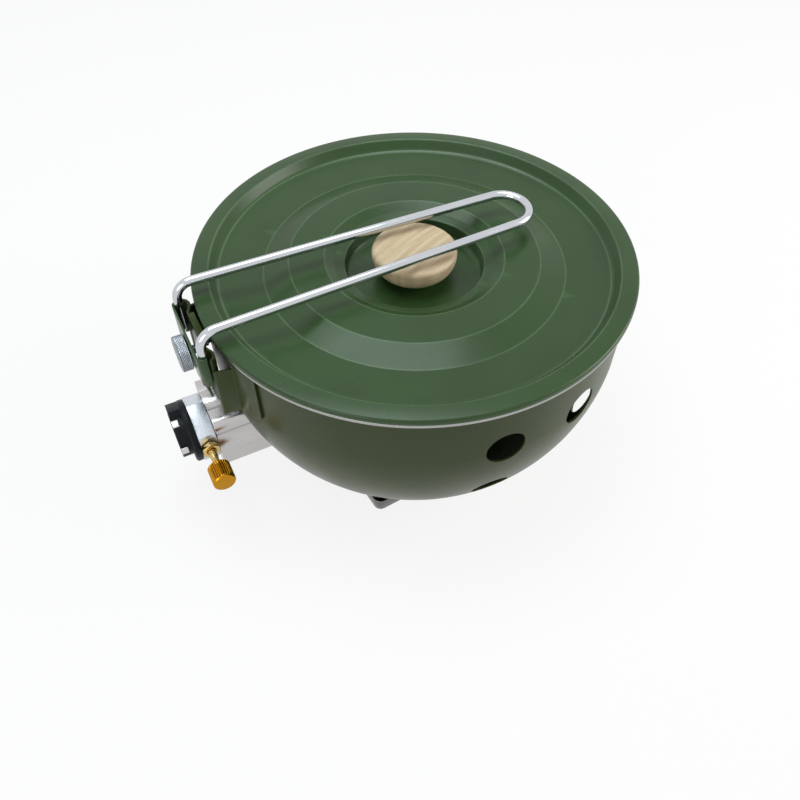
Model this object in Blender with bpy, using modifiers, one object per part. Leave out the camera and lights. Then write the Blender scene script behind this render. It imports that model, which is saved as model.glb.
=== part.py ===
"""Round portable cassette gas stove: a green bowl with a burner inside, closed by a lid.

The lid has a wooden knob. A bent wire handle, held by a clamp plate on the bowl's
bracket, lies over the lid. The canister connector is on the bracket's side.
Metres, +Z up. The origin is on the ground, on the bowl's axis, under the stand tray.
The handle and the gas inlet point along the X axis, with the connector towards -X.
"""
from math import acos, asin, atan2, cos, hypot, pi, radians, sin, sqrt

import bmesh
import bpy
from mathutils import Matrix, Vector

# Fits shared by all pieces
CLEARANCE = 0.0003
OVERRUN = 0.002
MERGE_DISTANCE = 0.00005
ROUND_STEPS = 48
SMALL_STEPS = 20
SCREW_STEPS = 12

# Stand tray: a square pan with three raised seats for the base screws
TRAY_SIDE = 0.127
TRAY_HEIGHT = 0.0078
TRAY_SHEET = 0.001
TRAY_CORNER = 0.0045
TRAY_TURN = radians(5)
SEAT_RADIUS = 0.009
BASE_SCREW_CIRCLE = 0.030
BASE_SCREW_COUNT = 3
BASE_SCREW_RADIUS = 0.002
BASE_HEAD_RADIUS = 0.0037
BASE_HEAD_HEIGHT = 0.0025
BASE_NUT_FLATS = 0.007
BASE_NUT_HEIGHT = 0.003

# Bowl: cylindrical above, one large arc below, and a smaller arc into the flat bottom
BOWL_RADIUS = 0.1168
BOWL_WALL = 0.0011
BOWL_HEIGHT = 0.1204
BOWL_ARC_HEIGHT = 0.089
BOWL_SIDE_ARC = 0.106
BOWL_FOOT_ARC = 0.035
BOWL_BEAD_WIDTH = 0.0014
BOWL_BEAD_FILLET = 0.0008
BOWL_ARC_POINTS = 8
UPPER_VENT_RADIUS = 0.0106
UPPER_VENT_DROP = 0.0304
UPPER_VENT_COUNT = 9
LOWER_VENT_RADIUS = 0.0104
LOWER_VENT_HEIGHT = 0.0455
LOWER_VENT_COUNT = 5
VENT_STEP = radians(23.65)
VENT_STEPS = 20

# Support ring on the bowl's rim, with four pot arms on its skirt
RING_OVERHANG = 0.0014
RING_INSET = 0.0042
RING_SHEET = 0.001
RING_SKIRT_HEIGHT = 0.0142
RING_EDGE_DROP = 0.0012
ARM_COUNT = 4
ARM_INNER_RADIUS = 0.050
ARM_THICKNESS = 0.002
ARM_HEIGHT = 0.0075
ARM_NOSE_HEIGHT = 0.0035
ARM_NOSE_LENGTH = 0.008
ARM_TOP_DROP = 0.0062

# Lid: a pressed sheet, whose radii and depths are read from the rim inwards
LID_OVERHANG = 0.0004
LID_SHEET = 0.001
LID_LIP_HEIGHT = 0.003
LID_LIP_BEND = 0.0013
LID_CROWN_RISE = 0.0005
LID_BORDER = 0.0094
LID_WALL_SLANT = 0.0048
LID_WALL_BEND = 0.0009
LID_WALL_DEPTH = 0.0058
LID_SLOPE_FOOT_RADIUS = 0.0824
LID_SLOPE_FOOT_DEPTH = 0.0074
LID_PLATEAU_RADIUS = 0.0684
LID_PLATEAU_DEPTH = 0.0028
LID_RISE_WIDTH = 0.0055
LID_STEP_WIDTH = 0.0055
LID_STEP_DEPTH = 0.0062
LID_WELL_RADIUS = 0.0381
LID_WELL_EDGE_DEPTH = 0.0075
LID_WELL_BEND = 0.007
LID_WELL_DEPTH = 0.0155
LID_SEAT_RADIUS = 0.012
LID_SEAT_SLOPE = 0.003
LID_SEAT_DEPTH = 0.0128
KNOB_RADIUS = 0.0233
KNOB_HEIGHT = 0.015
KNOB_ROUND_WIDTH = 0.0024
KNOB_ROUND_HEIGHT = 0.0026
KNOB_FOOT_ROUND_WIDTH = 0.0088
KNOB_FOOT_ROUND_HEIGHT = 0.0108
KNOB_CROWN = 0.0008
KNOB_SCREW_RADIUS = 0.002
KNOB_SCREW_LENGTH = 0.011
KNOB_SCREW_HEAD_RADIUS = 0.0037
KNOB_SCREW_HEAD_HEIGHT = 0.0024
KNOB_WASHER_RADIUS = 0.006
KNOB_WASHER_HEIGHT = 0.0008

# Wire handle, its clamp plate, and the bracket that they stand in
WIRE_RADIUS = 0.0025
ROD_RISE = 0.008
ROD_HALF_WIDTH = 0.0196
LOOP_RADIUS = 0.0142
LOOP_REACH = 0.0720
LEG_STANDOFF = 0.009
LEG_HALF_WIDTH = 0.0203
LEG_INSET = 0.001
WIRE_BEND = 0.009
WIRE_BEND_POINTS = 7
WIRE_LOOP_POINTS = 13
PLATE_SHEET = 0.001
PLATE_TOP_DROP = 0.0004
PLATE_LOW_SHARE = 0.5263
CURL_END = radians(75)
CURL_POINTS = 7
TAB_HALF_WIDTH = 0.011
TAB_BEND_DROP = 0.0025
TAB_FOOT_DROP = 0.0015
TAB_SHEET = 0.0009
STUD_SHARE = 0.6579
STUD_RADIUS = 0.0025
STUD_HEAD_RADIUS = 0.005
STUD_HEAD_HEIGHT = 0.0014
STUD_TIP_INSET = 0.0008
THUMB_RADIUS = 0.0095
THUMB_HEIGHT = 0.006
THUMB_CHAMFER = 0.0006
BRACKET_SHEET = 0.0012
BRACKET_FACE_INSET = 0.0018
BRACKET_TOP_DROP = 0.0002
BRACKET_WALL_SHARE = 0.8158
BRACKET_INLET_GAP = 0.0145
BRACKET_GROOVE_RADIUS = 0.0050
BRACKET_GROOVE_START = radians(45)
BRACKET_GROOVE_END = radians(-35)
BRACKET_GROOVE_POINTS = 7
BRACKET_FOLD_INSET = 0.0011
BRACKET_FOLD_OUT = 0.0053
BRACKET_ROOT_OUT = 0.0072
BRACKET_FACE_IN = 0.0063
BRACKET_FLANGE_HALF_WIDTH = 0.045
BRACKET_FLANGE_DROP = 0.002
BRACKET_FLANGE_CORNER = 0.008
BRACKET_BEND = 0.002
BRACKET_ROOT_BEND = 0.0015
BRACKET_FOLD_BEND = 0.0009
LIP_DEPTH = 0.0022

# Gas inlet outside the bowl, along the -X axis; each reach is a distance from the bowl's axis
GAS_HEIGHT = 0.0475
INLET_STANDOFF = 0.0132
INLET_LENGTH = 0.038
INLET_SIDE = 0.038
INLET_CORNER = 0.0045
INLET_TOP_GROOVE_HALF_WIDTH = 0.0078
INLET_TOP_GROOVE_DEPTH = 0.0036
INLET_SIDE_GROOVE_HEIGHT = 0.0115
INLET_SIDE_GROOVE_DEPTH = 0.0018
INLET_CHAMBER_RADIUS = 0.0100
INLET_CHAMBER_SHELF = 0.0055
INLET_AIR_SLOT_LENGTH = 0.010
INLET_AIR_SLOT_WIDTH = 0.012
BLOCK_FLATS = 0.033
BLOCK_LENGTH = 0.0094
BLOCK_SPIGOT_RADIUS = 0.009
BLOCK_SPIGOT_LENGTH = 0.006
BLOCK_PASSAGE_RADIUS = 0.0015
JET_RADIUS = 0.003
JET_SHANK_LENGTH = 0.0035
JET_HEAD_FLATS = 0.008
JET_HEAD_LENGTH = 0.0035
COLLAR_FLANGE_RADIUS = 0.0182
COLLAR_FLANGE_LENGTH = 0.0037
COLLAR_FLANGE_ROUND = 0.0009
COLLAR_HUB_RADIUS = 0.0132
COLLAR_HUB_LENGTH = 0.0062
COLLAR_BORE_RADIUS = 0.0100
COLLAR_WEB = 0.002
COLLAR_LUG_RADIUS = 0.0170
COLLAR_LUG_WIDTH = 0.0118
COLLAR_LUG_ANGLES = (radians(66), radians(306))
CLIP_SHEET = 0.0006
CLIP_HALF_ANGLE = radians(9.5)
CLIP_LENGTH = 0.0038
CLIP_ANGLES = (radians(105.5), radians(176))
CLIP_POINTS = 5
PROBE_RADIUS = 0.004
PROBE_SHANK_LENGTH = 0.0055
PROBE_FLANGE_RADIUS = 0.007
PROBE_FLANGE_LENGTH = 0.0012
PROBE_PIN_RADIUS = 0.0021
PROBE_PIN_LENGTH = 0.0045
SEAL_RADIUS = 0.0052
SEAL_LENGTH = 0.0015

# Flow control on the block's front flat, along the -Y axis
STEM_RADIUS = 0.0024
STEM_TIP_OFFSET = 0.0055
STEM_TIP_LENGTH = 0.003
STEM_TIP_RADIUS = 0.0006
GLAND_FLATS = 0.0092
GLAND_LENGTH = 0.0034
GLAND_SEAL_RADIUS = 0.0039
GLAND_SEAL_LENGTH = 0.0018
GLAND_SEAL_POCKET = 0.003
FLOW_KNOB_START = 0.0315
FLOW_KNOB_LENGTH = 0.012
FLOW_KNOB_RADIUS = 0.00625
FLOW_KNOB_TOOTH_DEPTH = 0.0004
FLOW_KNOB_TEETH = 20
FLOW_KNOB_CHAMFER = 0.0006
FLOW_KNOB_SOCKET = 0.0085

# Burner inside the bowl
TUBE_RADIUS = 0.012
TUBE_WALL = 0.0012
TUBE_INNER_REACH = 0.0113
SUPPORT_INSET_SHARE = 0.231
SUPPORT_SHEET = 0.0012
SUPPORT_WIDTH = 0.034
SUPPORT_FOOT_SHARE = 0.462
HAT_FLANGE_RADIUS = 0.039
HAT_FOOT_RADIUS = 0.024
HAT_TOP_RADIUS = 0.0185
HAT_HEIGHT = 0.016
HAT_SHEET = 0.0012
BURNER_THROAT_RADIUS = 0.017
BURNER_THROAT_WALL = 0.004
BURNER_BASE_THICKNESS = 0.0072
BURNER_THROAT_HEIGHT = 0.035
BURNER_HEAD_RADIUS = 0.030
BURNER_HEAD_WALL = 0.004
BURNER_FLARE_HEIGHT = 0.011
BURNER_RIM_HEIGHT = 0.0045
BURNER_SOCKET_RADIUS = 0.015
BURNER_SOCKET_REACH = 0.026
BURNER_SCREW_RADIUS = 0.0025
BURNER_SCREW_DEPTH = 0.0045
BURNER_SCREW_HEAD_RADIUS = 0.0045
BURNER_SCREW_HEAD_HEIGHT = 0.003
CAP_RADIUS = 0.0312
CAP_HEIGHT = 0.0095
CAP_SKIRT_HEIGHT = 0.0052
CAP_SKIRT_WALL = 0.0037
CAP_TOP_ROUND = 0.0035
CAP_PORT_COUNT = 16
CAP_PORT_WIDTH = 0.0016
CAP_PORT_HEIGHT = 0.0026

# Places worked out from the sizes above
UPPER_VENT_HEIGHT = BOWL_HEIGHT - UPPER_VENT_DROP
RING_RADIUS = BOWL_RADIUS + BOWL_BEAD_WIDTH + RING_OVERHANG
RING_INNER_RADIUS = BOWL_RADIUS - RING_INSET
LID_RADIUS = RING_RADIUS + LID_OVERHANG
LID_WALL_TOP_RADIUS = LID_RADIUS - LID_BORDER
LID_WALL_FOOT_RADIUS = LID_WALL_TOP_RADIUS - LID_WALL_SLANT
LID_STEP_RADIUS = LID_WELL_RADIUS + LID_STEP_WIDTH
LID_PLATEAU_INNER_RADIUS = LID_STEP_RADIUS + LID_RISE_WIDTH
BOWL_BOTTOM = TRAY_HEIGHT + CLEARANCE
BOWL_FLOOR = BOWL_BOTTOM + BOWL_WALL
RING_BOTTOM = BOWL_HEIGHT + CLEARANCE
RING_TOP = RING_BOTTOM + RING_SHEET
LID_HEIGHT = RING_TOP + CLEARANCE + LID_LIP_HEIGHT
ROD_HEIGHT = LID_HEIGHT + ROD_RISE
LEG_REACH = BOWL_RADIUS + LEG_STANDOFF
INLET_REACH = BOWL_RADIUS + INLET_STANDOFF
BRACKET_TOP_HEIGHT = BOWL_HEIGHT - RING_EDGE_DROP - BRACKET_TOP_DROP
BRACKET_LOW_HEIGHT = GAS_HEIGHT + INLET_SIDE / 2 + BRACKET_INLET_GAP
BRACKET_HEIGHT = BRACKET_TOP_HEIGHT - BRACKET_LOW_HEIGHT
BRACKET_WALL_HEIGHT = BRACKET_LOW_HEIGHT + BRACKET_HEIGHT * BRACKET_WALL_SHARE
BRACKET_FLANGE_TOP_HEIGHT = BRACKET_TOP_HEIGHT - BRACKET_FLANGE_DROP
PLATE_TOP_HEIGHT = BOWL_HEIGHT - PLATE_TOP_DROP
PLATE_LOW_HEIGHT = BRACKET_LOW_HEIGHT + BRACKET_HEIGHT * PLATE_LOW_SHARE
LEG_FOOT_HEIGHT = PLATE_LOW_HEIGHT + LEG_INSET
TAB_BEND_HEIGHT = PLATE_LOW_HEIGHT - TAB_BEND_DROP
TAB_FOOT_HEIGHT = BRACKET_LOW_HEIGHT - TAB_FOOT_DROP
STUD_HEIGHT = BRACKET_LOW_HEIGHT + BRACKET_HEIGHT * STUD_SHARE
ARM_TOP = RING_TOP - ARM_TOP_DROP
FOOT_HEIGHT = BOWL_FLOOR + CLEARANCE
HAT_TOP = FOOT_HEIGHT + HAT_HEIGHT
BURNER_BOTTOM = HAT_TOP + CLEARANCE
BURNER_TOP = (BURNER_BOTTOM + BURNER_THROAT_HEIGHT + BURNER_FLARE_HEIGHT
              + BURNER_RIM_HEIGHT)
PLATE_OUTER_REACH = LEG_REACH + WIRE_RADIUS + CLEARANCE + PLATE_SHEET
CURL_RADIUS = WIRE_RADIUS + CLEARANCE + PLATE_SHEET
BRACKET_REACH = LEG_REACH - BRACKET_FACE_INSET
THUMB_REACH = PLATE_OUTER_REACH + CLEARANCE
BLOCK_REACH = INLET_REACH + CLEARANCE + BLOCK_LENGTH
BLOCK_CENTRE = INLET_REACH + CLEARANCE + BLOCK_LENGTH / 2
BLOCK_FRONT = BLOCK_FLATS / 2
COLLAR_REACH = BLOCK_REACH + CLEARANCE
HUB_REACH = COLLAR_REACH + COLLAR_FLANGE_LENGTH
HUB_TIP_REACH = HUB_REACH + COLLAR_HUB_LENGTH
INLET_SHELF_REACH = INLET_REACH - BLOCK_SPIGOT_LENGTH - CLEARANCE
INLET_INNER_REACH = INLET_REACH - INLET_LENGTH
TUBE_OUTER_REACH = INLET_SHELF_REACH - INLET_AIR_SLOT_LENGTH - INLET_CHAMBER_SHELF

X_AXIS = Vector((1, 0, 0))
Y_AXIS = Vector((0, 1, 0))
Z_AXIS = Vector((0, 0, 1))


# Scene and small helpers

def clear_scene():
    for old in list(bpy.data.objects):
        bpy.data.objects.remove(old, do_unlink=True)


def new_collection(name):
    collection = bpy.data.collections.new(name)
    bpy.context.scene.collection.children.link(collection)
    return collection


def new_material(name, colour, roughness, metallic):
    material = bpy.data.materials.new(name)
    material.use_nodes = True
    shader = material.node_tree.nodes["Principled BSDF"]
    shader.inputs["Base Color"].default_value = (*colour, 1)
    shader.inputs["Roughness"].default_value = roughness
    shader.inputs["Metallic"].default_value = metallic
    material.diffuse_color = (*colour, 1)
    return material


def frame(origin, across, along):
    """A placement whose local X is across, local Z is along, and local Y completes them."""
    w = Vector(along).normalized()
    u = Vector(across).normalized()
    v = w.cross(u)
    placement = Matrix((u, v, w)).transposed().to_4x4()
    placement.translation = Vector(origin)
    return placement


def arc(centre, radius, start, end, count):
    """Points on an arc in the drawing plane, both ends included."""
    points = []
    for index in range(count):
        angle = start + (end - start) * index / (count - 1)
        points.append((centre[0] + radius * cos(angle), centre[1] + radius * sin(angle)))
    return points


def rounded(points, radius, count=4, closed=False):
    """The polyline with each inner corner replaced by an arc of the radius."""
    result = []
    total = len(points)
    for index, point in enumerate(points):
        if not closed and index in (0, total - 1):
            result.append(point)
            continue
        here = Vector(point)
        before = Vector(points[index - 1]) - here
        after = Vector(points[(index + 1) % total]) - here
        half = before.angle(after) / 2
        reach = radius / (sin(half) / cos(half))
        centre = here + (before.normalized() + after.normalized()).normalized() * radius / sin(half)
        first = here + before.normalized() * reach - centre
        last = here + after.normalized() * reach - centre
        turn = first.angle_signed(last)
        for step in range(count + 1):
            angle = -turn * step / count
            spun = Vector((first.x * cos(angle) - first.y * sin(angle),
                           first.x * sin(angle) + first.y * cos(angle)))
            result.append(tuple(centre + spun))
    return result


def strip(path, thickness):
    """The closed outline of a sheet of the thickness, bent along the open path."""
    points = [Vector(point) for point in path]
    left = []
    right = []
    for index, point in enumerate(points):
        before = (point - points[index - 1]).normalized() if index else None
        after = (points[index + 1] - point).normalized() if index < len(points) - 1 else None
        before = before or after
        after = after or before
        normal = Vector((-(before + after).y, (before + after).x)).normalized()
        reach = thickness / 2 / normal.dot(Vector((-before.y, before.x)))
        left.append(tuple(point + normal * reach))
        right.append(tuple(point - normal * reach))
    return left + right[::-1]


def place(name, mesh, placement, collection, material=None):
    piece = bpy.data.objects.new(name, mesh)
    collection.objects.link(piece)
    piece.matrix_world = placement
    if material is not None:
        mesh.materials.append(material)
    return piece


def smooth(mesh):
    mesh.shade_smooth()
    mesh.set_sharp_from_angle(angle=radians(35))


def turned(name, profile, placement, collection, material=None, steps=ROUND_STEPS, closed=True):
    """A profile of (radius, height) points turned about the placement's Z axis."""
    mesh = bpy.data.meshes.new(name)
    points = [(radius, 0, height) for radius, height in profile]
    edges = [(index, index + 1) for index in range(len(points) - 1)]
    if closed:
        edges.append((len(points) - 1, 0))
    mesh.from_pydata(points, edges, [])
    piece = place(name, mesh, placement, collection, material)
    screw = piece.modifiers.new("Turn", 'SCREW')
    screw.steps = steps
    screw.render_steps = steps
    screw.use_merge_vertices = True
    screw.merge_threshold = MERGE_DISTANCE
    screw.use_smooth_shade = True
    return piece


def extruded(name, outline, thickness, placement, collection, material=None):
    """A flat outline with the thickness, centred on the placement's drawing plane."""
    drawing = bpy.data.curves.new(name + "_outline", 'CURVE')
    drawing.dimensions = '2D'
    drawing.fill_mode = 'BOTH'
    drawing.extrude = thickness / 2
    spline = drawing.splines.new('POLY')
    spline.points.add(len(outline) - 1)
    for point, (x, y) in zip(spline.points, outline):
        point.co = (x, y, 0, 1)
    spline.use_cyclic_u = True
    guide = bpy.data.objects.new(name + "_outline", drawing)
    collection.objects.link(guide)
    guide.matrix_world = placement
    return curve_to_mesh(guide, name, collection, material)


def curve_to_mesh(guide, name, collection, material):
    """The curve's body as one closed mesh object; the curve is removed."""
    bpy.context.view_layer.update()
    evaluated = guide.evaluated_get(bpy.context.evaluated_depsgraph_get())
    mesh = bpy.data.meshes.new_from_object(evaluated)
    mesh.name = name
    body = bmesh.new()
    body.from_mesh(mesh)
    bmesh.ops.remove_doubles(body, verts=body.verts, dist=MERGE_DISTANCE)
    bmesh.ops.recalc_face_normals(body, faces=body.faces)
    body.to_mesh(mesh)
    body.free()
    mesh.materials.clear()
    smooth(mesh)
    piece = place(name, mesh, guide.matrix_world.copy(), collection, material)
    bpy.data.objects.remove(guide, do_unlink=True)
    return piece


def rods(name, parts, collection, material=None, steps=SMALL_STEPS):
    """One mesh of separate cylinders, each given as (radius, start, end)."""
    mesh = bpy.data.meshes.new(name)
    body = bmesh.new()
    for radius, start, end in parts:
        start = Vector(start)
        end = Vector(end)
        along = end - start
        across = X_AXIS if abs(along.normalized().x) < 0.9 else Z_AXIS
        across = (across - along.normalized() * across.dot(along.normalized())).normalized()
        bmesh.ops.create_cone(body, cap_ends=True, segments=steps, radius1=radius, radius2=radius,
                              depth=along.length, matrix=frame((start + end) / 2, across, along))
    body.to_mesh(mesh)
    body.free()
    smooth(mesh)
    return place(name, mesh, Matrix(), collection, material)


def boxes(name, parts, collection, material=None):
    """One mesh of separate boxes, each given as (size, placement)."""
    mesh = bpy.data.meshes.new(name)
    body = bmesh.new()
    for size, placement in parts:
        bmesh.ops.create_cube(body, size=1, matrix=placement @ Matrix.Diagonal((*size, 1)))
    body.to_mesh(mesh)
    body.free()
    return place(name, mesh, Matrix(), collection, material)


def combine(target, other, operation):
    """Cut the other solid out of the target, or join it on, and hide the other."""
    modifier = target.modifiers.new(other.name, 'BOOLEAN')
    modifier.operation = operation
    modifier.solver = 'EXACT'
    modifier.object = other
    other.hide_render = True
    other.display_type = 'WIRE'
    return target


def cut(target, other):
    return combine(target, other, 'DIFFERENCE')


def join(target, other):
    return combine(target, other, 'UNION')


def hexagon(flats):
    """A hexagon's outline from its width across flats, with a corner on local X."""
    corner = flats / 2 / cos(pi / 6)
    return [(corner * cos(pi / 3 * index), corner * sin(pi / 3 * index)) for index in range(6)]


def on_circle(radius, angle, height):
    return Vector((radius * cos(angle), radius * sin(angle), height))


def gas_point(reach, y=0.0, rise=0.0):
    """A point on the gas inlet's axis, at the reach from the bowl's axis."""
    return Vector((-reach, y, GAS_HEIGHT + rise))


def gas_frame(reach):
    """A placement on the gas axis with its Z towards the canister and its X up."""
    return frame(gas_point(reach), Z_AXIS, -X_AXIS)


def flow_frame(offset):
    """A placement on the flow control's axis with its Z away from the block, and its X up."""
    return frame(gas_point(BLOCK_CENTRE, -offset), Z_AXIS, -Y_AXIS)


# Bowl section

def foot_arc_centre():
    """Radius and height of the centre of the arc that meets the flat bottom."""
    height = BOWL_BOTTOM + BOWL_FOOT_ARC
    reach = BOWL_SIDE_ARC - BOWL_FOOT_ARC
    drop = BOWL_ARC_HEIGHT - height
    radius = BOWL_RADIUS - BOWL_SIDE_ARC + sqrt(reach ** 2 - drop ** 2)
    return radius, height


def bowl_radius_at(height):
    """The bowl's outer radius at a height on its upper wall or large arc."""
    drop = max(BOWL_ARC_HEIGHT - height, 0)
    return BOWL_RADIUS - BOWL_SIDE_ARC + sqrt(BOWL_SIDE_ARC ** 2 - drop ** 2)


def bowl_profile():
    """The outer surface from the rim's bead down to the middle of the bottom."""
    foot_radius, foot_height = foot_arc_centre()
    arc_centre = (BOWL_RADIUS - BOWL_SIDE_ARC, BOWL_ARC_HEIGHT)
    meet = atan2(foot_height - arc_centre[1], foot_radius - arc_centre[0])
    bead = BOWL_HEIGHT - BOWL_WALL
    points = [(BOWL_RADIUS + BOWL_BEAD_WIDTH, bead)]
    points += arc((BOWL_RADIUS + BOWL_BEAD_FILLET, bead - BOWL_BEAD_FILLET), BOWL_BEAD_FILLET,
                  pi / 2, pi, 3)
    points += arc(arc_centre, BOWL_SIDE_ARC, 0, meet, BOWL_ARC_POINTS)
    points += arc((foot_radius, foot_height), BOWL_FOOT_ARC, meet, -pi / 2, 5)[1:]
    points.append((0, BOWL_BOTTOM))
    return points


def vent_parts(radius, height, count, step):
    """Cylinders square to the wall, spread evenly about the +X side."""
    tilt = asin(max(BOWL_ARC_HEIGHT - height, 0) / BOWL_SIDE_ARC)
    parts = []
    for index in range(count):
        angle = (index - (count - 1) / 2) * step
        middle = on_circle(bowl_radius_at(height), angle, height)
        outward = Vector((cos(angle) * cos(tilt), sin(angle) * cos(tilt), -sin(tilt)))
        parts.append((radius, middle - outward * radius, middle + outward * radius))
    return parts


def screw_holes(radius, low, high):
    """Cylinders at the base screws' places, between two heights."""
    parts = []
    for index in range(BASE_SCREW_COUNT):
        angle = 2 * pi * index / BASE_SCREW_COUNT + pi / BASE_SCREW_COUNT
        parts.append((radius, on_circle(BASE_SCREW_CIRCLE, angle, low),
                      on_circle(BASE_SCREW_CIRCLE, angle, high)))
    return parts


def inlet_outline(grow=0.0):
    """The inlet body's section: a rounded square with a groove on top and one on each side."""
    half = INLET_SIDE / 2 + grow
    corner = INLET_CORNER + grow
    top_width = INLET_TOP_GROOVE_HALF_WIDTH - grow
    top_depth = INLET_TOP_GROOVE_DEPTH
    top_radius = (top_width ** 2 + top_depth ** 2) / (2 * top_depth)
    sweep = asin(top_width / top_radius)
    side_half = INLET_SIDE_GROOVE_HEIGHT / 2 - grow
    side_depth = INLET_SIDE_GROOVE_DEPTH
    side_radius = (side_half ** 2 + side_depth ** 2) / (2 * side_depth)
    side_sweep = asin(side_half / side_radius)
    side_middle = INLET_SIDE_GROOVE_HEIGHT / 2
    points = arc((0, half + top_radius - top_depth), top_radius, -pi / 2, -pi / 2 + sweep, 5)
    points += arc((half - corner, half - corner), corner, pi / 2, 0, 6)
    points += arc((half + side_radius - side_depth, side_middle), side_radius,
                  pi - side_sweep, pi + side_sweep, 7)
    points += arc((half - corner, corner - half), corner, 0, -pi / 2, 6)
    mirrored = [(-x, y) for x, y in points[::-1] if x > MERGE_DISTANCE]
    return points + mirrored


# Stand

def build_stand(parts, cutters, steel, bright):
    square = [(TRAY_SIDE / 2, TRAY_SIDE / 2), (-TRAY_SIDE / 2, TRAY_SIDE / 2),
              (-TRAY_SIDE / 2, -TRAY_SIDE / 2), (TRAY_SIDE / 2, -TRAY_SIDE / 2)]
    turn = Matrix.Rotation(TRAY_TURN, 4, 'Z')
    outline = rounded(square, TRAY_CORNER, 5, closed=True)
    tray = extruded("stand_tray", outline, TRAY_HEIGHT,
                    Matrix.Translation((0, 0, TRAY_HEIGHT / 2)) @ turn, parts, steel)
    inner_share = (TRAY_SIDE - 2 * TRAY_SHEET) / TRAY_SIDE
    inner = [(x * inner_share, y * inner_share) for x, y in outline]
    inner_height = TRAY_HEIGHT - TRAY_SHEET + OVERRUN
    well = extruded("tray_well", inner, inner_height,
                    Matrix.Translation((0, 0, TRAY_SHEET + inner_height / 2)) @ turn, cutters)
    cut(tray, well)
    join(tray, rods("tray_seats", screw_holes(SEAT_RADIUS, TRAY_SHEET / 2, TRAY_HEIGHT), cutters))
    recess = screw_holes(SEAT_RADIUS - TRAY_SHEET, -OVERRUN, TRAY_HEIGHT - TRAY_SHEET)
    cut(tray, rods("tray_recesses", recess, cutters))
    hole = BASE_SCREW_RADIUS + CLEARANCE
    cut(tray, rods("tray_holes", screw_holes(hole, -OVERRUN, TRAY_HEIGHT + OVERRUN), cutters,
                   steps=SCREW_STEPS))

    head_top = TRAY_HEIGHT - TRAY_SHEET - CLEARANCE
    nut_low = FOOT_HEIGHT + HAT_SHEET + CLEARANCE
    nut_top = nut_low + BASE_NUT_HEIGHT
    heads = screw_holes(BASE_HEAD_RADIUS, head_top - BASE_HEAD_HEIGHT, head_top)
    shanks = screw_holes(BASE_SCREW_RADIUS, head_top - BASE_HEAD_HEIGHT / 2,
                         nut_top + BASE_SCREW_RADIUS / 2)
    nuts = screw_holes(BASE_NUT_FLATS / 2 / cos(pi / 6), nut_low, nut_top)
    nut_holes = screw_holes(hole, nut_low - OVERRUN, nut_top + OVERRUN)
    for index in range(BASE_SCREW_COUNT):
        label = str(index + 1)
        screw = rods("base_screw_" + label, [heads[index]], parts, bright)
        join(screw, rods("base_shank_" + label, [shanks[index]], cutters, steps=SCREW_STEPS))
        nut = rods("base_nut_" + label, [nuts[index]], parts, bright, 6)
        cut(nut, rods("base_nut_hole_" + label, [nut_holes[index]], cutters, steps=SCREW_STEPS))


def build_bowl(parts, cutters, green):
    bowl = turned("bowl_shell", bowl_profile(), Matrix(), parts, green, closed=False)
    wall = bowl.modifiers.new("Wall", 'SOLIDIFY')
    wall.thickness = BOWL_WALL
    wall.offset = -1
    wall.use_even_offset = True
    cut(bowl, rods("upper_vents", vent_parts(UPPER_VENT_RADIUS, UPPER_VENT_HEIGHT, UPPER_VENT_COUNT,
                                             VENT_STEP), cutters, steps=VENT_STEPS))
    cut(bowl, rods("lower_vents", vent_parts(LOWER_VENT_RADIUS, LOWER_VENT_HEIGHT, LOWER_VENT_COUNT,
                                             2 * VENT_STEP), cutters, steps=VENT_STEPS))
    cut(bowl, rods("bowl_screw_holes", screw_holes(BASE_SCREW_RADIUS + CLEARANCE,
                                                   BOWL_BOTTOM - OVERRUN, BOWL_FLOOR + OVERRUN),
                   cutters, steps=SCREW_STEPS))
    gate = extruded("inlet_gate", inlet_outline(CLEARANCE), INLET_LENGTH,
                    frame(gas_point(INLET_REACH - INLET_LENGTH / 2), Y_AXIS, X_AXIS), cutters)
    cut(bowl, gate)


def build_ring(parts, cutters, steel):
    inner = RING_INNER_RADIUS
    skirt = inner + RING_SHEET
    low = RING_TOP - RING_SKIRT_HEIGHT
    edge_low = RING_BOTTOM - RING_EDGE_DROP
    edge_inner = RING_RADIUS - RING_SHEET
    profile = [(inner, RING_TOP), (RING_RADIUS, RING_TOP), (RING_RADIUS, edge_low),
               (edge_inner, edge_low), (edge_inner, RING_BOTTOM), (skirt, RING_BOTTOM),
               (skirt, low), (inner, low)]
    turned("support_ring", profile, Matrix(), parts, steel)
    outer = inner - CLEARANCE
    nose = ARM_INNER_RADIUS + ARM_NOSE_LENGTH
    outline = [(outer, ARM_TOP), (outer, ARM_TOP - ARM_HEIGHT), (nose, ARM_TOP - ARM_HEIGHT),
               (ARM_INNER_RADIUS, ARM_TOP - ARM_NOSE_HEIGHT), (ARM_INNER_RADIUS, ARM_TOP)]
    for index in range(ARM_COUNT):
        angle = 2 * pi * (index + 1 / 2) / ARM_COUNT
        outward = on_circle(1, angle, 0)
        placement = frame((0, 0, 0), outward, outward.cross(Z_AXIS))
        extruded("pot_arm_" + str(index + 1), outline, ARM_THICKNESS, placement, parts, steel)


# Lid

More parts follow.
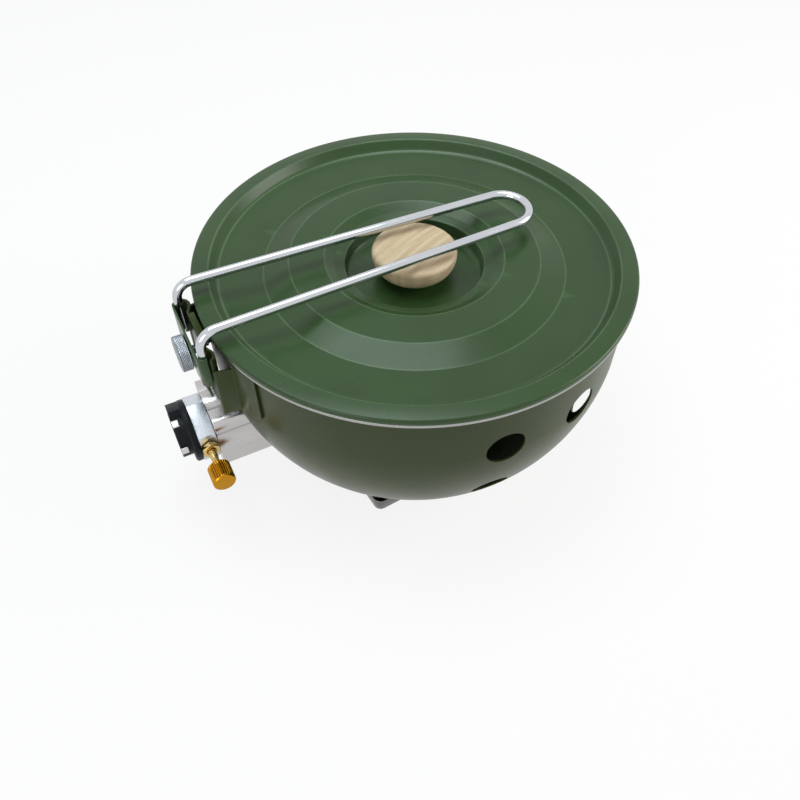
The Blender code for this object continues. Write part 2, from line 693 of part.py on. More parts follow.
def lid_profile():
    """The lid's upper surface, from the screw hole in the middle out and down the lip."""
    top = LID_HEIGHT
    hole = KNOB_SCREW_RADIUS + CLEARANCE
    well_floor = top - LID_WELL_DEPTH
    points = [(hole, top - LID_SEAT_DEPTH), (LID_SEAT_RADIUS, top - LID_SEAT_DEPTH),
              (LID_SEAT_RADIUS + LID_SEAT_SLOPE, well_floor)]
    bend = LID_WELL_BEND
    points += arc((LID_WELL_RADIUS - bend, well_floor + bend), bend, -pi / 2, 0, 4)[:-1]
    points += [(LID_WELL_RADIUS, top - LID_WELL_EDGE_DEPTH), (LID_STEP_RADIUS, top - LID_STEP_DEPTH),
               (LID_PLATEAU_INNER_RADIUS, top - LID_PLATEAU_DEPTH),
               (LID_PLATEAU_RADIUS, top - LID_PLATEAU_DEPTH),
               (LID_SLOPE_FOOT_RADIUS, top - LID_SLOPE_FOOT_DEPTH)]
    wall = [(LID_SLOPE_FOOT_RADIUS, top - LID_SLOPE_FOOT_DEPTH),
            (LID_WALL_FOOT_RADIUS, top - LID_WALL_DEPTH),
            (LID_WALL_TOP_RADIUS, top + LID_CROWN_RISE),
            (LID_RADIUS - LID_LIP_BEND, top)]
    points += rounded(wall, LID_WALL_BEND, 2)[1:-1]
    points += arc((LID_RADIUS - LID_LIP_BEND, top - LID_LIP_BEND), LID_LIP_BEND, pi / 2, 0, 3)
    points.append((LID_RADIUS, top - LID_LIP_HEIGHT))
    return points


def build_lid(parts, cutters, green, wood, steel):
    lid = turned("lid_shell", lid_profile(), Matrix(), parts, green, closed=False)
    sheet = lid.modifiers.new("Sheet", 'SOLIDIFY')
    sheet.thickness = LID_SHEET
    sheet.offset = -1
    sheet.use_even_offset = True

    seat = LID_HEIGHT - LID_SEAT_DEPTH + CLEARANCE
    top = seat + KNOB_HEIGHT
    inner = KNOB_RADIUS - KNOB_ROUND_WIDTH
    upper = [(inner + KNOB_ROUND_WIDTH * sin(angle), top - KNOB_CROWN - KNOB_ROUND_HEIGHT
              + KNOB_ROUND_HEIGHT * cos(angle)) for angle in [pi / 8 * step for step in range(5)]]
    inner = KNOB_RADIUS - KNOB_FOOT_ROUND_WIDTH
    lower = [(inner + KNOB_FOOT_ROUND_WIDTH * cos(angle), seat + KNOB_FOOT_ROUND_HEIGHT
              * (1 - sin(angle))) for angle in [pi / 8 * step for step in range(5)]]
    knob = turned("lid_knob", [(0, top)] + upper + lower + [(0, seat)], Matrix(), parts, wood,
                  SMALL_STEPS * 2, closed=False)
    shank_top = seat + KNOB_SCREW_LENGTH
    bore = KNOB_SCREW_RADIUS + CLEARANCE
    cut(knob, rods("knob_bore", [(bore, (0, 0, seat - OVERRUN), (0, 0, shank_top + CLEARANCE))],
                   cutters, steps=SCREW_STEPS))

    washer_top = LID_HEIGHT - LID_SEAT_DEPTH - LID_SHEET - CLEARANCE
    washer_low = washer_top - KNOB_WASHER_HEIGHT
    turned("knob_washer", [(bore, washer_top), (KNOB_WASHER_RADIUS, washer_top),
                           (KNOB_WASHER_RADIUS, washer_low), (bore, washer_low)],
           Matrix(), parts, steel, SMALL_STEPS)
    head_top = washer_low - CLEARANCE
    head_low = head_top - KNOB_SCREW_HEAD_HEIGHT
    turned("knob_screw", [(0, shank_top), (KNOB_SCREW_RADIUS, shank_top),
                          (KNOB_SCREW_RADIUS, head_top), (KNOB_SCREW_HEAD_RADIUS, head_top),
                          (KNOB_SCREW_HEAD_RADIUS, head_low), (0, head_low)],
           Matrix(), parts, steel, SMALL_STEPS, closed=False)


# Handle

def wire_half():
    """The wire's middle line on the +Y side, from its foot to the top of the loop."""
    loop_centre = LOOP_REACH - WIRE_RADIUS - LOOP_RADIUS
    points = [(-LEG_REACH, LEG_HALF_WIDTH, LEG_FOOT_HEIGHT)]
    bend_centre = (-LEG_REACH + WIRE_BEND, ROD_HEIGHT - WIRE_BEND)
    for index in range(WIRE_BEND_POINTS):
        share = index / (WIRE_BEND_POINTS - 1)
        angle = pi - pi / 2 * share
        points.append((bend_centre[0] + WIRE_BEND * cos(angle),
                       LEG_HALF_WIDTH + (ROD_HALF_WIDTH - LEG_HALF_WIDTH) * share,
                       bend_centre[1] + WIRE_BEND * sin(angle)))
    for x, y in arc((loop_centre, 0), LOOP_RADIUS, pi / 2, 0, (WIRE_LOOP_POINTS + 1) // 2):
        points.append((x, y, ROD_HEIGHT))
    return points


def build_handle(parts, cutters, green, bright):
    half = wire_half()
    points = half + [(x, -y, z) for x, y, z in half[-2::-1]]
    line = bpy.data.curves.new("handle_wire_line", 'CURVE')
    line.dimensions = '3D'
    line.bevel_depth = WIRE_RADIUS
    line.bevel_resolution = 4
    line.use_fill_caps = True
    spline = line.splines.new('POLY')
    spline.points.add(len(points) - 1)
    for point, place_of in zip(spline.points, points):
        point.co = (*place_of, 1)
    guide = bpy.data.objects.new("handle_wire_line", line)
    parts.objects.link(guide)
    curve_to_mesh(guide, "handle_wire", parts, bright)

    path_radius = WIRE_RADIUS + CLEARANCE + PLATE_SHEET / 2
    curl = arc((-LEG_REACH, LEG_HALF_WIDTH), path_radius, CURL_END, pi, CURL_POINTS)
    path = curl + [(x, -y) for x, y in curl[::-1]]
    height = PLATE_TOP_HEIGHT - PLATE_LOW_HEIGHT
    plate = extruded("clamp_plate", strip(path, PLATE_SHEET), height,
                     Matrix.Translation((0, 0, PLATE_LOW_HEIGHT + height / 2)), parts, green)
    middle = PLATE_OUTER_REACH - PLATE_SHEET / 2
    foot = BRACKET_REACH + CLEARANCE + TAB_SHEET
    tab_path = [(-middle, PLATE_LOW_HEIGHT + PLATE_SHEET), (-middle, TAB_BEND_HEIGHT),
                (-foot, TAB_FOOT_HEIGHT)]
    tab = extruded("plate_tab", strip(tab_path, TAB_SHEET), 2 * TAB_HALF_WIDTH,
                   frame((0, 0, 0), X_AXIS, -Y_AXIS), cutters)
    join(plate, tab)
    slot = STUD_RADIUS + CLEARANCE
    slot_low = TAB_FOOT_HEIGHT - OVERRUN
    slot_depth = LEG_REACH - BRACKET_REACH + PLATE_OUTER_REACH - LEG_REACH + OVERRUN
    slot_middle = (PLATE_OUTER_REACH + BRACKET_REACH) / 2
    slot_height = STUD_HEIGHT - slot_low
    cut(plate, boxes("stud_slot", [((slot_depth, 2 * slot, slot_height),
                                    Matrix.Translation((-slot_middle, 0,
                                                        slot_low + slot_height / 2)))], cutters))
    cut(plate, rods("stud_slot_end", [(slot, (-PLATE_OUTER_REACH - OVERRUN, 0, STUD_HEIGHT),
                                       (-LEG_REACH, 0, STUD_HEIGHT))], cutters, steps=SMALL_STEPS))


def bracket_path():
    """The bracket's sheet in plan, from one flange's edge round the channel to the other."""
    flange = BOWL_RADIUS + CLEARANCE + BRACKET_SHEET / 2
    edge = pi - asin(BRACKET_FLANGE_HALF_WIDTH / flange)
    root_y = LEG_HALF_WIDTH + BRACKET_ROOT_OUT
    root = pi - asin(root_y / flange)
    bend_share = BRACKET_ROOT_BEND / flange
    points = arc((0, 0), flange, edge, root - 2 * bend_share, 6)
    fold = (-(LEG_REACH - BRACKET_FOLD_INSET), LEG_HALF_WIDTH + BRACKET_FOLD_OUT)
    root_point = (flange * cos(root), root_y)
    groove = arc((-LEG_REACH, LEG_HALF_WIDTH), BRACKET_GROOVE_RADIUS, BRACKET_GROOVE_START,
                 BRACKET_GROOVE_END, BRACKET_GROOVE_POINTS)
    face_x = -(BRACKET_REACH - BRACKET_SHEET / 2)
    turn_in = (face_x, LEG_HALF_WIDTH - BRACKET_FACE_IN)
    points += rounded([points[-1], root_point, fold], BRACKET_ROOT_BEND, 4)[1:-1]
    points += rounded([points[-1], fold, groove[0]], BRACKET_FOLD_BEND, 6)[1:-1]
    points += groove
    points += rounded([groove[-1], turn_in, (face_x, 0)], BRACKET_ROOT_BEND, 4)[1:-1]
    return points + [(x, -y) for x, y in points[::-1]]


def build_bracket(parts, cutters, green, bright, nickel):
    height = BRACKET_TOP_HEIGHT - BRACKET_LOW_HEIGHT
    middle = BRACKET_LOW_HEIGHT + height / 2
    bracket = extruded("handle_bracket", strip(bracket_path(), BRACKET_SHEET), height,
                       Matrix.Translation((0, 0, middle)), parts, green)
    inner_face = BRACKET_REACH - BRACKET_SHEET
    window_reach = LEG_REACH - BRACKET_FOLD_INSET - BRACKET_SHEET / 2
    window_start = LEG_HALF_WIDTH + BRACKET_FOLD_OUT - BRACKET_SHEET / 2
    window_width = BRACKET_ROOT_OUT - BRACKET_FOLD_OUT + BRACKET_SHEET + BRACKET_ROOT_BEND
    window_height = BRACKET_TOP_HEIGHT - BRACKET_WALL_HEIGHT + OVERRUN
    window = (window_reach - BOWL_RADIUS - CLEARANCE + OVERRUN, window_width, window_height)
    window_x = -window_reach + window[0] / 2
    window_z = BRACKET_WALL_HEIGHT + window_height / 2
    cut(bracket, boxes("wall_windows", [
        (window, Matrix.Translation((window_x, side * (window_start + window_width / 2), window_z)))
        for side in (-1, 1)], cutters))
    trim_height = BRACKET_TOP_HEIGHT - BRACKET_FLANGE_TOP_HEIGHT + OVERRUN
    trim_depth = BOWL_RADIUS + BRACKET_SHEET + 2 * CLEARANCE - BRACKET_FLANGE_HALF_WIDTH
    trim = (trim_depth, 2 * BRACKET_FLANGE_HALF_WIDTH, trim_height)
    cut(bracket, boxes("flange_trim", [
        (trim, Matrix.Translation((-BRACKET_FLANGE_HALF_WIDTH - trim_depth / 2, 0,
                                   BRACKET_FLANGE_TOP_HEIGHT + trim_height / 2)))], cutters))
    corner = BRACKET_FLANGE_CORNER
    slant = sqrt(2) * corner
    cut(bracket, boxes("flange_corners", [
        ((BRACKET_FLANGE_HALF_WIDTH, slant, slant),
         Matrix.Translation((-BOWL_RADIUS, side * BRACKET_FLANGE_HALF_WIDTH, BRACKET_LOW_HEIGHT))
         @ Matrix.Rotation(pi / 4, 4, 'X')) for side in (-1, 1)], cutters))
    hole = STUD_RADIUS + CLEARANCE
    cut(bracket, rods("stud_hole", [(hole, (-BRACKET_REACH - OVERRUN, 0, STUD_HEIGHT),
                                     (-inner_face + OVERRUN, 0, STUD_HEIGHT))], cutters))
    lip_half = LEG_HALF_WIDTH - BRACKET_FACE_IN - BRACKET_SHEET
    lip_x = -inner_face + LIP_DEPTH / 2 - BRACKET_SHEET / 4
    lip_z = BRACKET_TOP_HEIGHT - BRACKET_SHEET / 2 - MERGE_DISTANCE
    join(bracket, boxes("bracket_lip", [
        ((LIP_DEPTH + BRACKET_SHEET / 2, 2 * lip_half, BRACKET_SHEET - 2 * MERGE_DISTANCE),
         Matrix.Translation((lip_x, 0, lip_z)))], cutters))
    stud_frame = frame((-inner_face, 0, STUD_HEIGHT), Z_AXIS, -X_AXIS)
    tip = THUMB_REACH + THUMB_HEIGHT - STUD_TIP_INSET - inner_face
    head = -CLEARANCE - STUD_HEAD_HEIGHT
    turned("clamp_bolt", [(0, tip), (STUD_RADIUS - STUD_TIP_INSET, tip),
                          (STUD_RADIUS, tip - STUD_TIP_INSET), (STUD_RADIUS, -CLEARANCE),
                          (STUD_HEAD_RADIUS, -CLEARANCE), (STUD_HEAD_RADIUS, head), (0, head)],
           stud_frame, parts, nickel, SMALL_STEPS, closed=False)
    bore = STUD_RADIUS + CLEARANCE
    chamfer = THUMB_CHAMFER
    turned("thumb_nut", [(bore, THUMB_HEIGHT), (THUMB_RADIUS - chamfer, THUMB_HEIGHT),
                         (THUMB_RADIUS, THUMB_HEIGHT - chamfer), (THUMB_RADIUS, chamfer),
                         (THUMB_RADIUS - chamfer, 0), (bore, 0)],
           frame((-THUMB_REACH, 0, STUD_HEIGHT), Z_AXIS, -X_AXIS), parts, nickel,
           SMALL_STEPS * 2)


# Gas inlet

def build_inlet(parts, cutters, aluminium, brass, black, bright, rubber):
    body = extruded("inlet_body", inlet_outline(), INLET_LENGTH,
                    frame(gas_point(INLET_REACH - INLET_LENGTH / 2), Y_AXIS, X_AXIS), parts,
                    aluminium)
    bores = [("spigot_bore", BLOCK_SPIGOT_RADIUS + CLEARANCE, INLET_SHELF_REACH,
              INLET_REACH + OVERRUN),
             ("chamber_bore", INLET_CHAMBER_RADIUS, TUBE_OUTER_REACH, INLET_SHELF_REACH + OVERRUN),
             ("tube_bore", TUBE_RADIUS + CLEARANCE, INLET_INNER_REACH - OVERRUN,
              TUBE_OUTER_REACH + CLEARANCE)]
    for name, radius, start, end in bores:
        cut(body, rods(name, [(radius, gas_point(start), gas_point(end))], cutters))
    slot_middle = INLET_SHELF_REACH - INLET_AIR_SLOT_LENGTH / 2
    slot_height = INLET_SIDE / 2
    cut(body, boxes("air_slot", [
        ((INLET_AIR_SLOT_LENGTH, INLET_AIR_SLOT_WIDTH, slot_height),
         Matrix.Translation(gas_point(slot_middle, 0, -INLET_CHAMBER_RADIUS / 2
                                      - slot_height / 2)))], cutters))

    block = extruded("valve_block", hexagon(BLOCK_FLATS), BLOCK_LENGTH, gas_frame(BLOCK_CENTRE),
                     parts, aluminium)
    rear = INLET_REACH + CLEARANCE
    spigot_end = INLET_REACH - BLOCK_SPIGOT_LENGTH
    join(block, rods("block_spigot", [(BLOCK_SPIGOT_RADIUS, gas_point(spigot_end),
                                       gas_point(rear + BLOCK_LENGTH / 4))], cutters))
    probe_bore = PROBE_RADIUS + CLEARANCE
    probe_start = COLLAR_REACH + COLLAR_WEB + CLEARANCE
    probe_end = probe_start - PROBE_SHANK_LENGTH
    stem_bore = STEM_RADIUS + CLEARANCE
    pocket_bore = GLAND_SEAL_RADIUS + CLEARANCE
    pocket_floor = BLOCK_FRONT - GLAND_SEAL_POCKET
    centre = BLOCK_CENTRE
    block_cuts = [
        ("probe_bore", probe_bore, gas_point(probe_end - CLEARANCE),
         gas_point(BLOCK_REACH + OVERRUN)),
        ("block_passage", BLOCK_PASSAGE_RADIUS, gas_point(spigot_end - OVERRUN),
         gas_point(BLOCK_REACH)),
        ("jet_bore", JET_RADIUS + CLEARANCE, gas_point(spigot_end - OVERRUN),
         gas_point(spigot_end + JET_SHANK_LENGTH + CLEARANCE)),
        ("stem_bore", stem_bore, gas_point(centre, -BLOCK_PASSAGE_RADIUS / 2),
         gas_point(centre, -BLOCK_FRONT - OVERRUN)),
        ("seal_pocket", pocket_bore, gas_point(centre, -pocket_floor),
         gas_point(centre, -BLOCK_FRONT - OVERRUN))]
    for name, radius, start, end in block_cuts:
        cut(block, rods(name, [(radius, start, end)], cutters, steps=SCREW_STEPS))

    jet_face = spigot_end - CLEARANCE
    jet = extruded("gas_jet", hexagon(JET_HEAD_FLATS), JET_HEAD_LENGTH,
                   gas_frame(jet_face - JET_HEAD_LENGTH / 2), parts, brass)
    join(jet, rods("jet_shank", [(JET_RADIUS, gas_point(jet_face - JET_HEAD_LENGTH / 2),
                                  gas_point(jet_face + JET_SHANK_LENGTH))], cutters,
                   steps=SCREW_STEPS))
    orifice = JET_RADIUS / 4
    cut(jet, rods("jet_orifice", [(orifice, gas_point(jet_face - JET_HEAD_LENGTH - OVERRUN),
                                   gas_point(jet_face + JET_SHANK_LENGTH + OVERRUN))], cutters,
                  steps=8))

    build_collar(parts, cutters, black, bright)
    flange_end = probe_start + PROBE_FLANGE_LENGTH
    pin_end = flange_end + PROBE_PIN_LENGTH
    probe = [(0, pin_end), (PROBE_PIN_RADIUS, pin_end), (PROBE_PIN_RADIUS, flange_end),
             (PROBE_FLANGE_RADIUS, flange_end), (PROBE_FLANGE_RADIUS, probe_start),
             (PROBE_RADIUS, probe_start), (PROBE_RADIUS, probe_end), (0, probe_end)]
    turned("inlet_probe", probe, gas_frame(0), parts, brass, SMALL_STEPS, closed=False)
    seal_low = flange_end + CLEARANCE
    seal_top = seal_low + SEAL_LENGTH
    seal_bore = PROBE_PIN_RADIUS + CLEARANCE
    turned("probe_seal", [(seal_bore, seal_top), (SEAL_RADIUS, seal_top), (SEAL_RADIUS, seal_low),
                          (seal_bore, seal_low)], gas_frame(0), parts, rubber, SMALL_STEPS)


def build_collar(parts, cutters, black, bright):
    start = COLLAR_REACH
    rim = COLLAR_FLANGE_ROUND
    profile = [(COLLAR_BORE_RADIUS, HUB_TIP_REACH), (COLLAR_HUB_RADIUS, HUB_TIP_REACH),
               (COLLAR_HUB_RADIUS, HUB_REACH), (COLLAR_FLANGE_RADIUS - rim, HUB_REACH),
               (COLLAR_FLANGE_RADIUS, HUB_REACH - rim), (COLLAR_FLANGE_RADIUS, start),
               (PROBE_RADIUS + CLEARANCE, start), (PROBE_RADIUS + CLEARANCE, start + COLLAR_WEB),
               (COLLAR_BORE_RADIUS, start + COLLAR_WEB)]
    collar = turned("bayonet_collar", profile, gas_frame(0), parts, black, SMALL_STEPS * 2)
    lug_depth = COLLAR_LUG_RADIUS - COLLAR_BORE_RADIUS - COLLAR_WEB / 2
    lug_start = HUB_REACH - COLLAR_FLANGE_LENGTH / 2
    lug_end = HUB_TIP_REACH - CLEARANCE / 2
    lugs = []
    for angle in COLLAR_LUG_ANGLES:
        outward = Vector((0, cos(angle), sin(angle)))
        middle = gas_point((lug_start + lug_end) / 2) + outward * (COLLAR_LUG_RADIUS - lug_depth / 2)
        lugs.append(((lug_depth, COLLAR_LUG_WIDTH, lug_end - lug_start),
                     frame(middle, outward, -X_AXIS)))
    join(collar, boxes("collar_lugs", lugs, cutters))

    middle_radius = COLLAR_HUB_RADIUS + CLEARANCE + CLIP_SHEET / 2
    for angle, label in zip(CLIP_ANGLES, ("upper", "lower")):
        path = arc((0, 0), middle_radius, angle - CLIP_HALF_ANGLE, angle + CLIP_HALF_ANGLE,
                   CLIP_POINTS)
        extruded("collar_clip_" + label, strip(path, CLIP_SHEET), CLIP_LENGTH,
                 frame(gas_point(HUB_TIP_REACH - CLIP_LENGTH / 2), Y_AXIS, X_AXIS),
                 parts, bright)


def build_flow_control(parts, cutters, brass, rubber):
    gland_start = BLOCK_FRONT + CLEARANCE
    bore = STEM_RADIUS + CLEARANCE
    gland = extruded("gland_nut", hexagon(GLAND_FLATS), GLAND_LENGTH,
                     flow_frame(gland_start + GLAND_LENGTH / 2), parts, brass)
    cut(gland, rods("gland_bore", [(bore, gas_point(BLOCK_CENTRE, -gland_start + OVERRUN),
                                    gas_point(BLOCK_CENTRE, -gland_start - GLAND_LENGTH
                                              - OVERRUN))], cutters, steps=SCREW_STEPS))
    seal_low = BLOCK_FRONT - GLAND_SEAL_POCKET + CLEARANCE
    seal_top = seal_low + GLAND_SEAL_LENGTH
    turned("stem_seal", [(bore, seal_top), (GLAND_SEAL_RADIUS, seal_top),
                         (GLAND_SEAL_RADIUS, seal_low), (bore, seal_low)], flow_frame(0), parts,
           rubber, SCREW_STEPS * 2)

    socket_end = FLOW_KNOB_START + FLOW_KNOB_SOCKET
    stem_end = socket_end - CLEARANCE
    taper = STEM_TIP_OFFSET + STEM_TIP_LENGTH
    turned("valve_stem", [(0, stem_end), (STEM_RADIUS, stem_end), (STEM_RADIUS, taper),
                          (STEM_TIP_RADIUS, STEM_TIP_OFFSET), (0, STEM_TIP_OFFSET)],
           flow_frame(0), parts, brass, SMALL_STEPS, closed=False)

    root = FLOW_KNOB_RADIUS - FLOW_KNOB_TOOTH_DEPTH
    teeth = []
    for index in range(2 * FLOW_KNOB_TEETH):
        angle = pi * index / FLOW_KNOB_TEETH
        radius = FLOW_KNOB_RADIUS if index % 2 else root
        teeth.append((radius * cos(angle), radius * sin(angle)))
    middle = FLOW_KNOB_START + FLOW_KNOB_LENGTH / 2
    knob = extruded("flow_knob", teeth, FLOW_KNOB_LENGTH, flow_frame(middle), parts, brass)
    end = FLOW_KNOB_START + FLOW_KNOB_LENGTH
    chamfer = FLOW_KNOB_CHAMFER
    outer = FLOW_KNOB_RADIUS + OVERRUN
    inner = FLOW_KNOB_RADIUS - chamfer
    for name, face, sign in (("knob_end_chamfer", end, 1), ("knob_root_chamfer", FLOW_KNOB_START, -1)):
        ring = [(outer, face + sign * OVERRUN), (outer, face - sign * (chamfer + OVERRUN)),
                (inner, face), (inner, face + sign * OVERRUN)]
        if sign < 0:
            ring.reverse()
        between_teeth = Matrix.Rotation(pi / FLOW_KNOB_TEETH / 2, 4, 'Z')
        cut(knob, turned(name, ring, flow_frame(0) @ between_teeth, cutters,
                         steps=2 * FLOW_KNOB_TEETH))
    cut(knob, rods("knob_socket", [(bore, gas_point(BLOCK_CENTRE, -FLOW_KNOB_START + OVERRUN),
                                    gas_point(BLOCK_CENTRE, -socket_end))], cutters,
                   steps=SCREW_STEPS))


# Burner

def build_burner(parts, cutters, steel, aluminium, brass, bright):
    tube = rods("mixing_tube", [(TUBE_RADIUS, gas_point(TUBE_INNER_REACH),
                                 gas_point(TUBE_OUTER_REACH))], parts, steel)
    cut(tube, rods("tube_inside", [(TUBE_RADIUS - TUBE_WALL, gas_point(TUBE_INNER_REACH - OVERRUN),
                                    gas_point(TUBE_OUTER_REACH + OVERRUN))], cutters))

    hole = BURNER_SCREW_RADIUS + CLEARANCE
    sheet = HAT_SHEET
    hat = [(hole, HAT_TOP), (HAT_TOP_RADIUS, HAT_TOP), (HAT_FOOT_RADIUS, FOOT_HEIGHT + sheet),
           (HAT_FLANGE_RADIUS, FOOT_HEIGHT + sheet), (HAT_FLANGE_RADIUS, FOOT_HEIGHT),
           (HAT_FOOT_RADIUS - sheet, FOOT_HEIGHT), (HAT_TOP_RADIUS - sheet, HAT_TOP - sheet),
           (hole, HAT_TOP - sheet)]
    stand = turned("burner_stand", hat, Matrix(), parts, steel, SMALL_STEPS)
    cut(stand, rods("stand_holes", screw_holes(BASE_SCREW_RADIUS + CLEARANCE,
                                               FOOT_HEIGHT - OVERRUN,
                                               FOOT_HEIGHT + sheet + OVERRUN),
                    cutters, steps=SCREW_STEPS))
    build_support(parts, cutters, steel)

    head_top = HAT_TOP - sheet - CLEARANCE
    head_low = head_top - BURNER_SCREW_HEAD_HEIGHT
    shank_top = BURNER_BOTTOM + BURNER_SCREW_DEPTH
    turned("burner_screw", [(0, shank_top), (BURNER_SCREW_RADIUS, shank_top),
                            (BURNER_SCREW_RADIUS, head_top), (BURNER_SCREW_HEAD_RADIUS, head_top),
                            (BURNER_SCREW_HEAD_RADIUS, head_low), (0, head_low)],
           Matrix(), parts, bright, SMALL_STEPS, closed=False)

    throat = BURNER_THROAT_RADIUS - BURNER_THROAT_WALL
    mouth = BURNER_HEAD_RADIUS - BURNER_HEAD_WALL
    throat_top = BURNER_BOTTOM + BURNER_THROAT_HEIGHT
    flare_top = throat_top + BURNER_FLARE_HEIGHT
    floor = BURNER_BOTTOM + BURNER_BASE_THICKNESS
    profile = [(0, floor), (throat, floor), (throat, throat_top), (mouth, flare_top),
               (mouth, BURNER_TOP), (BURNER_HEAD_RADIUS, BURNER_TOP),
               (BURNER_HEAD_RADIUS, flare_top), (BURNER_THROAT_RADIUS, throat_top),
               (BURNER_THROAT_RADIUS, BURNER_BOTTOM), (0, BURNER_BOTTOM)]
    burner = turned("burner_body", profile, Matrix(), parts, aluminium, SMALL_STEPS * 3 // 2,
                    closed=False)
    inside_wall = BURNER_THROAT_RADIUS - BURNER_THROAT_WALL / 2
    join(burner, rods("tube_socket", [(BURNER_SOCKET_RADIUS, gas_point(inside_wall),
                                       gas_point(BURNER_SOCKET_REACH))], cutters))
    cut(burner, rods("socket_bore", [(TUBE_RADIUS + CLEARANCE, gas_point(throat / 2),
                                      gas_point(BURNER_SOCKET_REACH + OVERRUN))], cutters))
    cut(burner, rods("burner_screw_bore", [(hole, (0, 0, BURNER_BOTTOM - OVERRUN),
                                            (0, 0, shank_top + CLEARANCE))], cutters,
                     steps=SCREW_STEPS))

    cap_low = BURNER_TOP + CLEARANCE
    cap_top = cap_low + CAP_HEIGHT
    roof = cap_low + CAP_SKIRT_HEIGHT
    skirt = CAP_RADIUS - CAP_SKIRT_WALL
    shoulder = arc((CAP_RADIUS - CAP_TOP_ROUND, cap_top - CAP_TOP_ROUND), CAP_TOP_ROUND, pi / 2, 0, 5)
    cap = turned("burner_cap", [(0, cap_top)] + shoulder + [(CAP_RADIUS, cap_low), (skirt, cap_low),
                                                            (skirt, roof), (0, roof)],
                 Matrix(), parts, brass, SMALL_STEPS * 2, closed=False)
    port_height = CAP_PORT_HEIGHT + OVERRUN
    ports = []
    for index in range(CAP_PORT_COUNT):
        angle = 2 * pi * (index + 1 / 2) / CAP_PORT_COUNT
        middle = on_circle(CAP_RADIUS - CAP_SKIRT_WALL / 2, angle,
                           cap_low + CAP_PORT_HEIGHT - port_height / 2)
        ports.append(((CAP_SKIRT_WALL + OVERRUN, CAP_PORT_WIDTH, port_height),
                      Matrix.Translation(middle) @ Matrix.Rotation(angle, 4, 'Z')))
    cut(cap, boxes("flame_ports", ports, cutters))


def build_support(parts, cutters, steel):
    """The sheet saddle under the mixing tube, with its foot on the bowl's floor."""
    room = foot_arc_centre()[0] - HAT_FLANGE_RADIUS
    reach = HAT_FLANGE_RADIUS + room * (1 - SUPPORT_INSET_SHARE)
    foot_length = room * SUPPORT_FOOT_SHARE
    half = SUPPORT_WIDTH / 2
    foot_top = FOOT_HEIGHT + SUPPORT_SHEET
    upright_height = GAS_HEIGHT - FOOT_HEIGHT
    upright = ((SUPPORT_SHEET, SUPPORT_WIDTH, upright_height),
               Matrix.Translation((-reach + SUPPORT_SHEET / 2, 0,
                                   FOOT_HEIGHT + upright_height / 2)))
    support = boxes("tube_support", [upright], parts, steel)
    foot = ((foot_length, SUPPORT_WIDTH - 2 * CLEARANCE, SUPPORT_SHEET),
            Matrix.Translation((-reach + SUPPORT_SHEET / 2 + foot_length / 2, 0,
                                foot_top - SUPPORT_SHEET / 2)))
    join(support, boxes("support_foot", [foot], cutters))
    cut(support, rods("support_saddle", [(TUBE_RADIUS + CLEARANCE,
                                          gas_point(reach - half),
                                          gas_point(reach + half))], cutters))


def build():
    clear_scene()
    parts = new_collection("cassette_gas_stove")
    cutters = new_collection("cutters")
    green = new_material("green_coat", (0.060, 0.105, 0.055), 0.38, 0.0)
    steel = new_material("stainless_sheet", (0.58, 0.57, 0.55), 0.28, 1.0)
    bright = new_material("bright_steel", (0.72, 0.71, 0.69), 0.14, 1.0)
    nickel = new_material("nickel_plate", (0.60, 0.60, 0.60), 0.34, 1.0)
    aluminium = new_material("aluminium", (0.74, 0.74, 0.75), 0.30, 1.0)
    brass = new_material("brass", (0.80, 0.52, 0.16), 0.25, 1.0)
    black = new_material("black_plastic", (0.012, 0.012, 0.014), 0.45, 0.0)
    rubber = new_material("black_rubber", (0.018, 0.018, 0.018), 0.75, 0.0)
    wood = new_material("pale_beech", (0.62, 0.44, 0.27), 0.55, 0.0)

    build_stand(parts, cutters, steel, bright)
    build_bowl(parts, cutters, green)
    build_ring(parts, cutters, steel)
    build_lid(parts, cutters, green, wood, bright)
    build_handle(parts, cutters, green, bright)
    build_bracket(parts, cutters, green, bright, nickel)
    build_inlet(parts, cutters, aluminium, brass, black, bright, rubber)
    build_flow_control(parts, cutters, brass, rubber)
    build_burner(parts, cutters, steel, aluminium, brass, bright)
    cutters.hide_render = True


build()
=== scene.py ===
"""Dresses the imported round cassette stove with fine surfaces, materials, light and a camera."""
from math import asin, atan2, cos, pi, radians, sin, sqrt

import bmesh
import bpy
from mathutils import Matrix, Vector


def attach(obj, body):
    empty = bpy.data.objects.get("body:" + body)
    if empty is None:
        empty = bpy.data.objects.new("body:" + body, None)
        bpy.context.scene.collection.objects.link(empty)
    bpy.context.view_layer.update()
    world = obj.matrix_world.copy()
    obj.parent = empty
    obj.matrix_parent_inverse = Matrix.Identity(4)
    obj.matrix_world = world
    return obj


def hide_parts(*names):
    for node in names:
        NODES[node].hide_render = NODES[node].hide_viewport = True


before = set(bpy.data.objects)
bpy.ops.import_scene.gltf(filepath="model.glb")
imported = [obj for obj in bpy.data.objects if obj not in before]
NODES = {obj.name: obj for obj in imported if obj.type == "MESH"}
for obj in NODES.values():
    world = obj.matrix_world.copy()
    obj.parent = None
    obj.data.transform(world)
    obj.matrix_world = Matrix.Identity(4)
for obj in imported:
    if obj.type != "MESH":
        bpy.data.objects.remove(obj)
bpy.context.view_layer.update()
PIECES = bpy.data.collections.new("pieces")
bpy.context.scene.collection.children.link(PIECES)

UP = (0, 0, 1)
ALONG_X = (1, 0, 0)
ALONG_Y = (0, 1, 0)
HANDLE_SIDE = (-1, 0, 0)
FLOW_KNOB_SIDE = (0, -1, 0)

# Sizes in metres, as in the part
CLEARANCE = 0.0003
GAS_HEIGHT = 0.0475
BLOCK_X = -0.135
STUD_HEIGHT = 0.106

